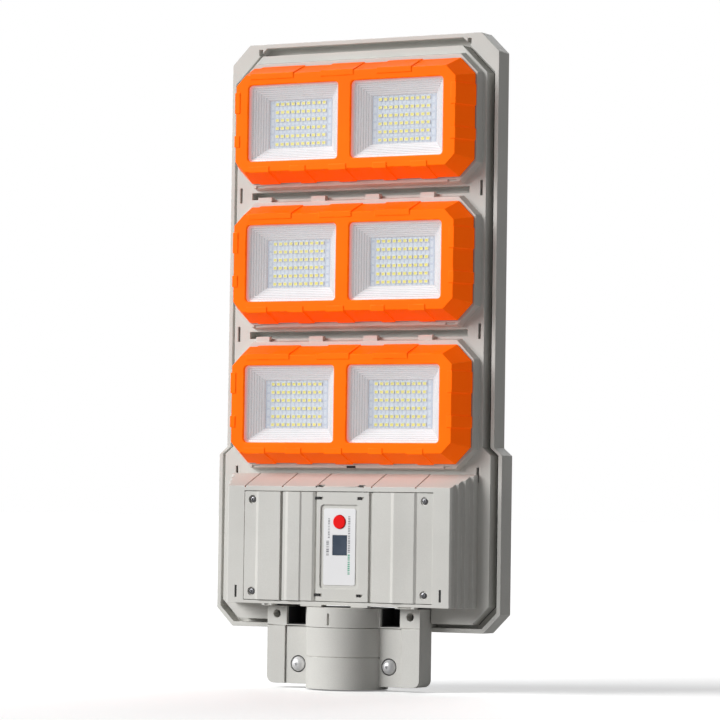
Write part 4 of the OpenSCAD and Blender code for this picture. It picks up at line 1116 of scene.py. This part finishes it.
slotBlock = fillTree()
labelMiddle = sum(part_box("label_overlay"), Vector()) / 2 / mm
seatMiddle = sum(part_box("bezel_bottom"), Vector()) / 2 / mm
boardX = labelMiddle.x - 2.0
slotShade = {
    # name: (places in mm, width, depth, height): painted shade, dark blocks put behind the clip slots where there
    # is only shade
    "coverSlotFill": (
        [(boardX + x, -18.75, labelMiddle.z + z) for x in (-18.0, 18.0) for z in (-37.8, 37.8)],
        5.5, 1.15, 2.1),
    "topSlotFill": ([(boardX + x, -17.6, 157.5) for x in (-18.0, 18.0)], 5.5, 3.7, 0.7),
    "sideSlotFill": ([(x, -18.7, 74.25) for x in (-91.0, 91.0)], 1.7, 1.2, 9.4),
    "seatSlotFill": ([(0.0, 2.0, seatMiddle.z - 49.1)], 7.9, 0.9, 1.9),
}
for pieceName, (places, wide, deep, tall) in slotShade.items():
    growPiece(pieceName, slotBlock, [Vector(place) * mm for place in places], {
        "Width": wide * mm, "Depth": deep * mm, "Height": tall * mm, "Material": finish["seal"]},
        "lamp", [])
print("slots are filled:", len(slotShade))


def printTree():
    # a column of short flat marks of uneven length, standing in for print
    tree, take, give = newNodes("printedMarks", [
        ("Count", "NodeSocketInt", 12), ("Column Height", "NodeSocketFloat", 0.02),
        ("Mark Size", "NodeSocketVector", (0.0006, 0.00006, 0.0012)),
        ("Shortest", "NodeSocketFloat", 0.5), ("Seed", "NodeSocketInt", 5),
        ("Material", "NodeSocketMaterial", None)])
    mark = addNode(tree, "GeometryNodeMeshCube", {"Size": take.outputs["Mark Size"]})
    step = addNode(tree, "ShaderNodeCombineXYZ", {
        "Z": mathNode(tree, "DIVIDE", take.outputs["Column Height"], take.outputs["Count"])})
    line = addNode(tree, "GeometryNodeMeshLine", {
        "Count": take.outputs["Count"], "Offset": step.outputs[0]}, mode="OFFSET")
    length = addNode(tree, "FunctionNodeRandomValue", {
        2: take.outputs["Shortest"], 3: 1.0, "Seed": take.outputs["Seed"]}, data_type="FLOAT")
    size = addNode(tree, "ShaderNodeCombineXYZ", {"X": 1.0, "Y": 1.0, "Z": length.outputs[1]})
    row = addNode(tree, "GeometryNodeInstanceOnPoints", {
        "Points": line.outputs["Mesh"], "Instance": mark.outputs["Mesh"], "Scale": size.outputs[0]})
    columns = addNode(tree, "GeometryNodeInstanceOnPoints", {
        "Points": take.outputs["Geometry"], "Instance": row.outputs[0]})
    endNodes(tree, give, columns.outputs[0], take.outputs["Material"])
    return tree


printedMarks = printTree()
labelLow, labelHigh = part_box("label_overlay")
inkFront = labelLow.y - 0.02 * mm
labelPrint = {
    # name: (mm from the label's left edge, mm above its foot, column height, count, mark width, finish)
    "printLeftTop": (4.6, 37.0, 16.0, 13, 1.5, "greyInk"),
    "printLeftLow": (3.6, 23.5, 12.0, 9, 2.3, "greyInk"),
    "printRightTop": (22.6, 26.0, 29.0, 22, 1.9, "greyInk"),
    "printRightLow": (22.6, 9.0, 16.0, 11, 1.9, "greenInk"),
}
for pieceName, (left, foot, tall, count, wide, look) in labelPrint.items():
    spot = (labelLow.x + left * mm, inkFront, labelLow.z + foot * mm)
    growPiece(pieceName, printedMarks, [spot], {
        "Count": count, "Column Height": tall * mm,
        "Mark Size": [wide * mm, 0.06 * mm, 0.72 * tall * mm / count], "Shortest": 0.45,
        "Seed": count, "Material": finish[look]}, "lamp", [])
print("label marks are printed")
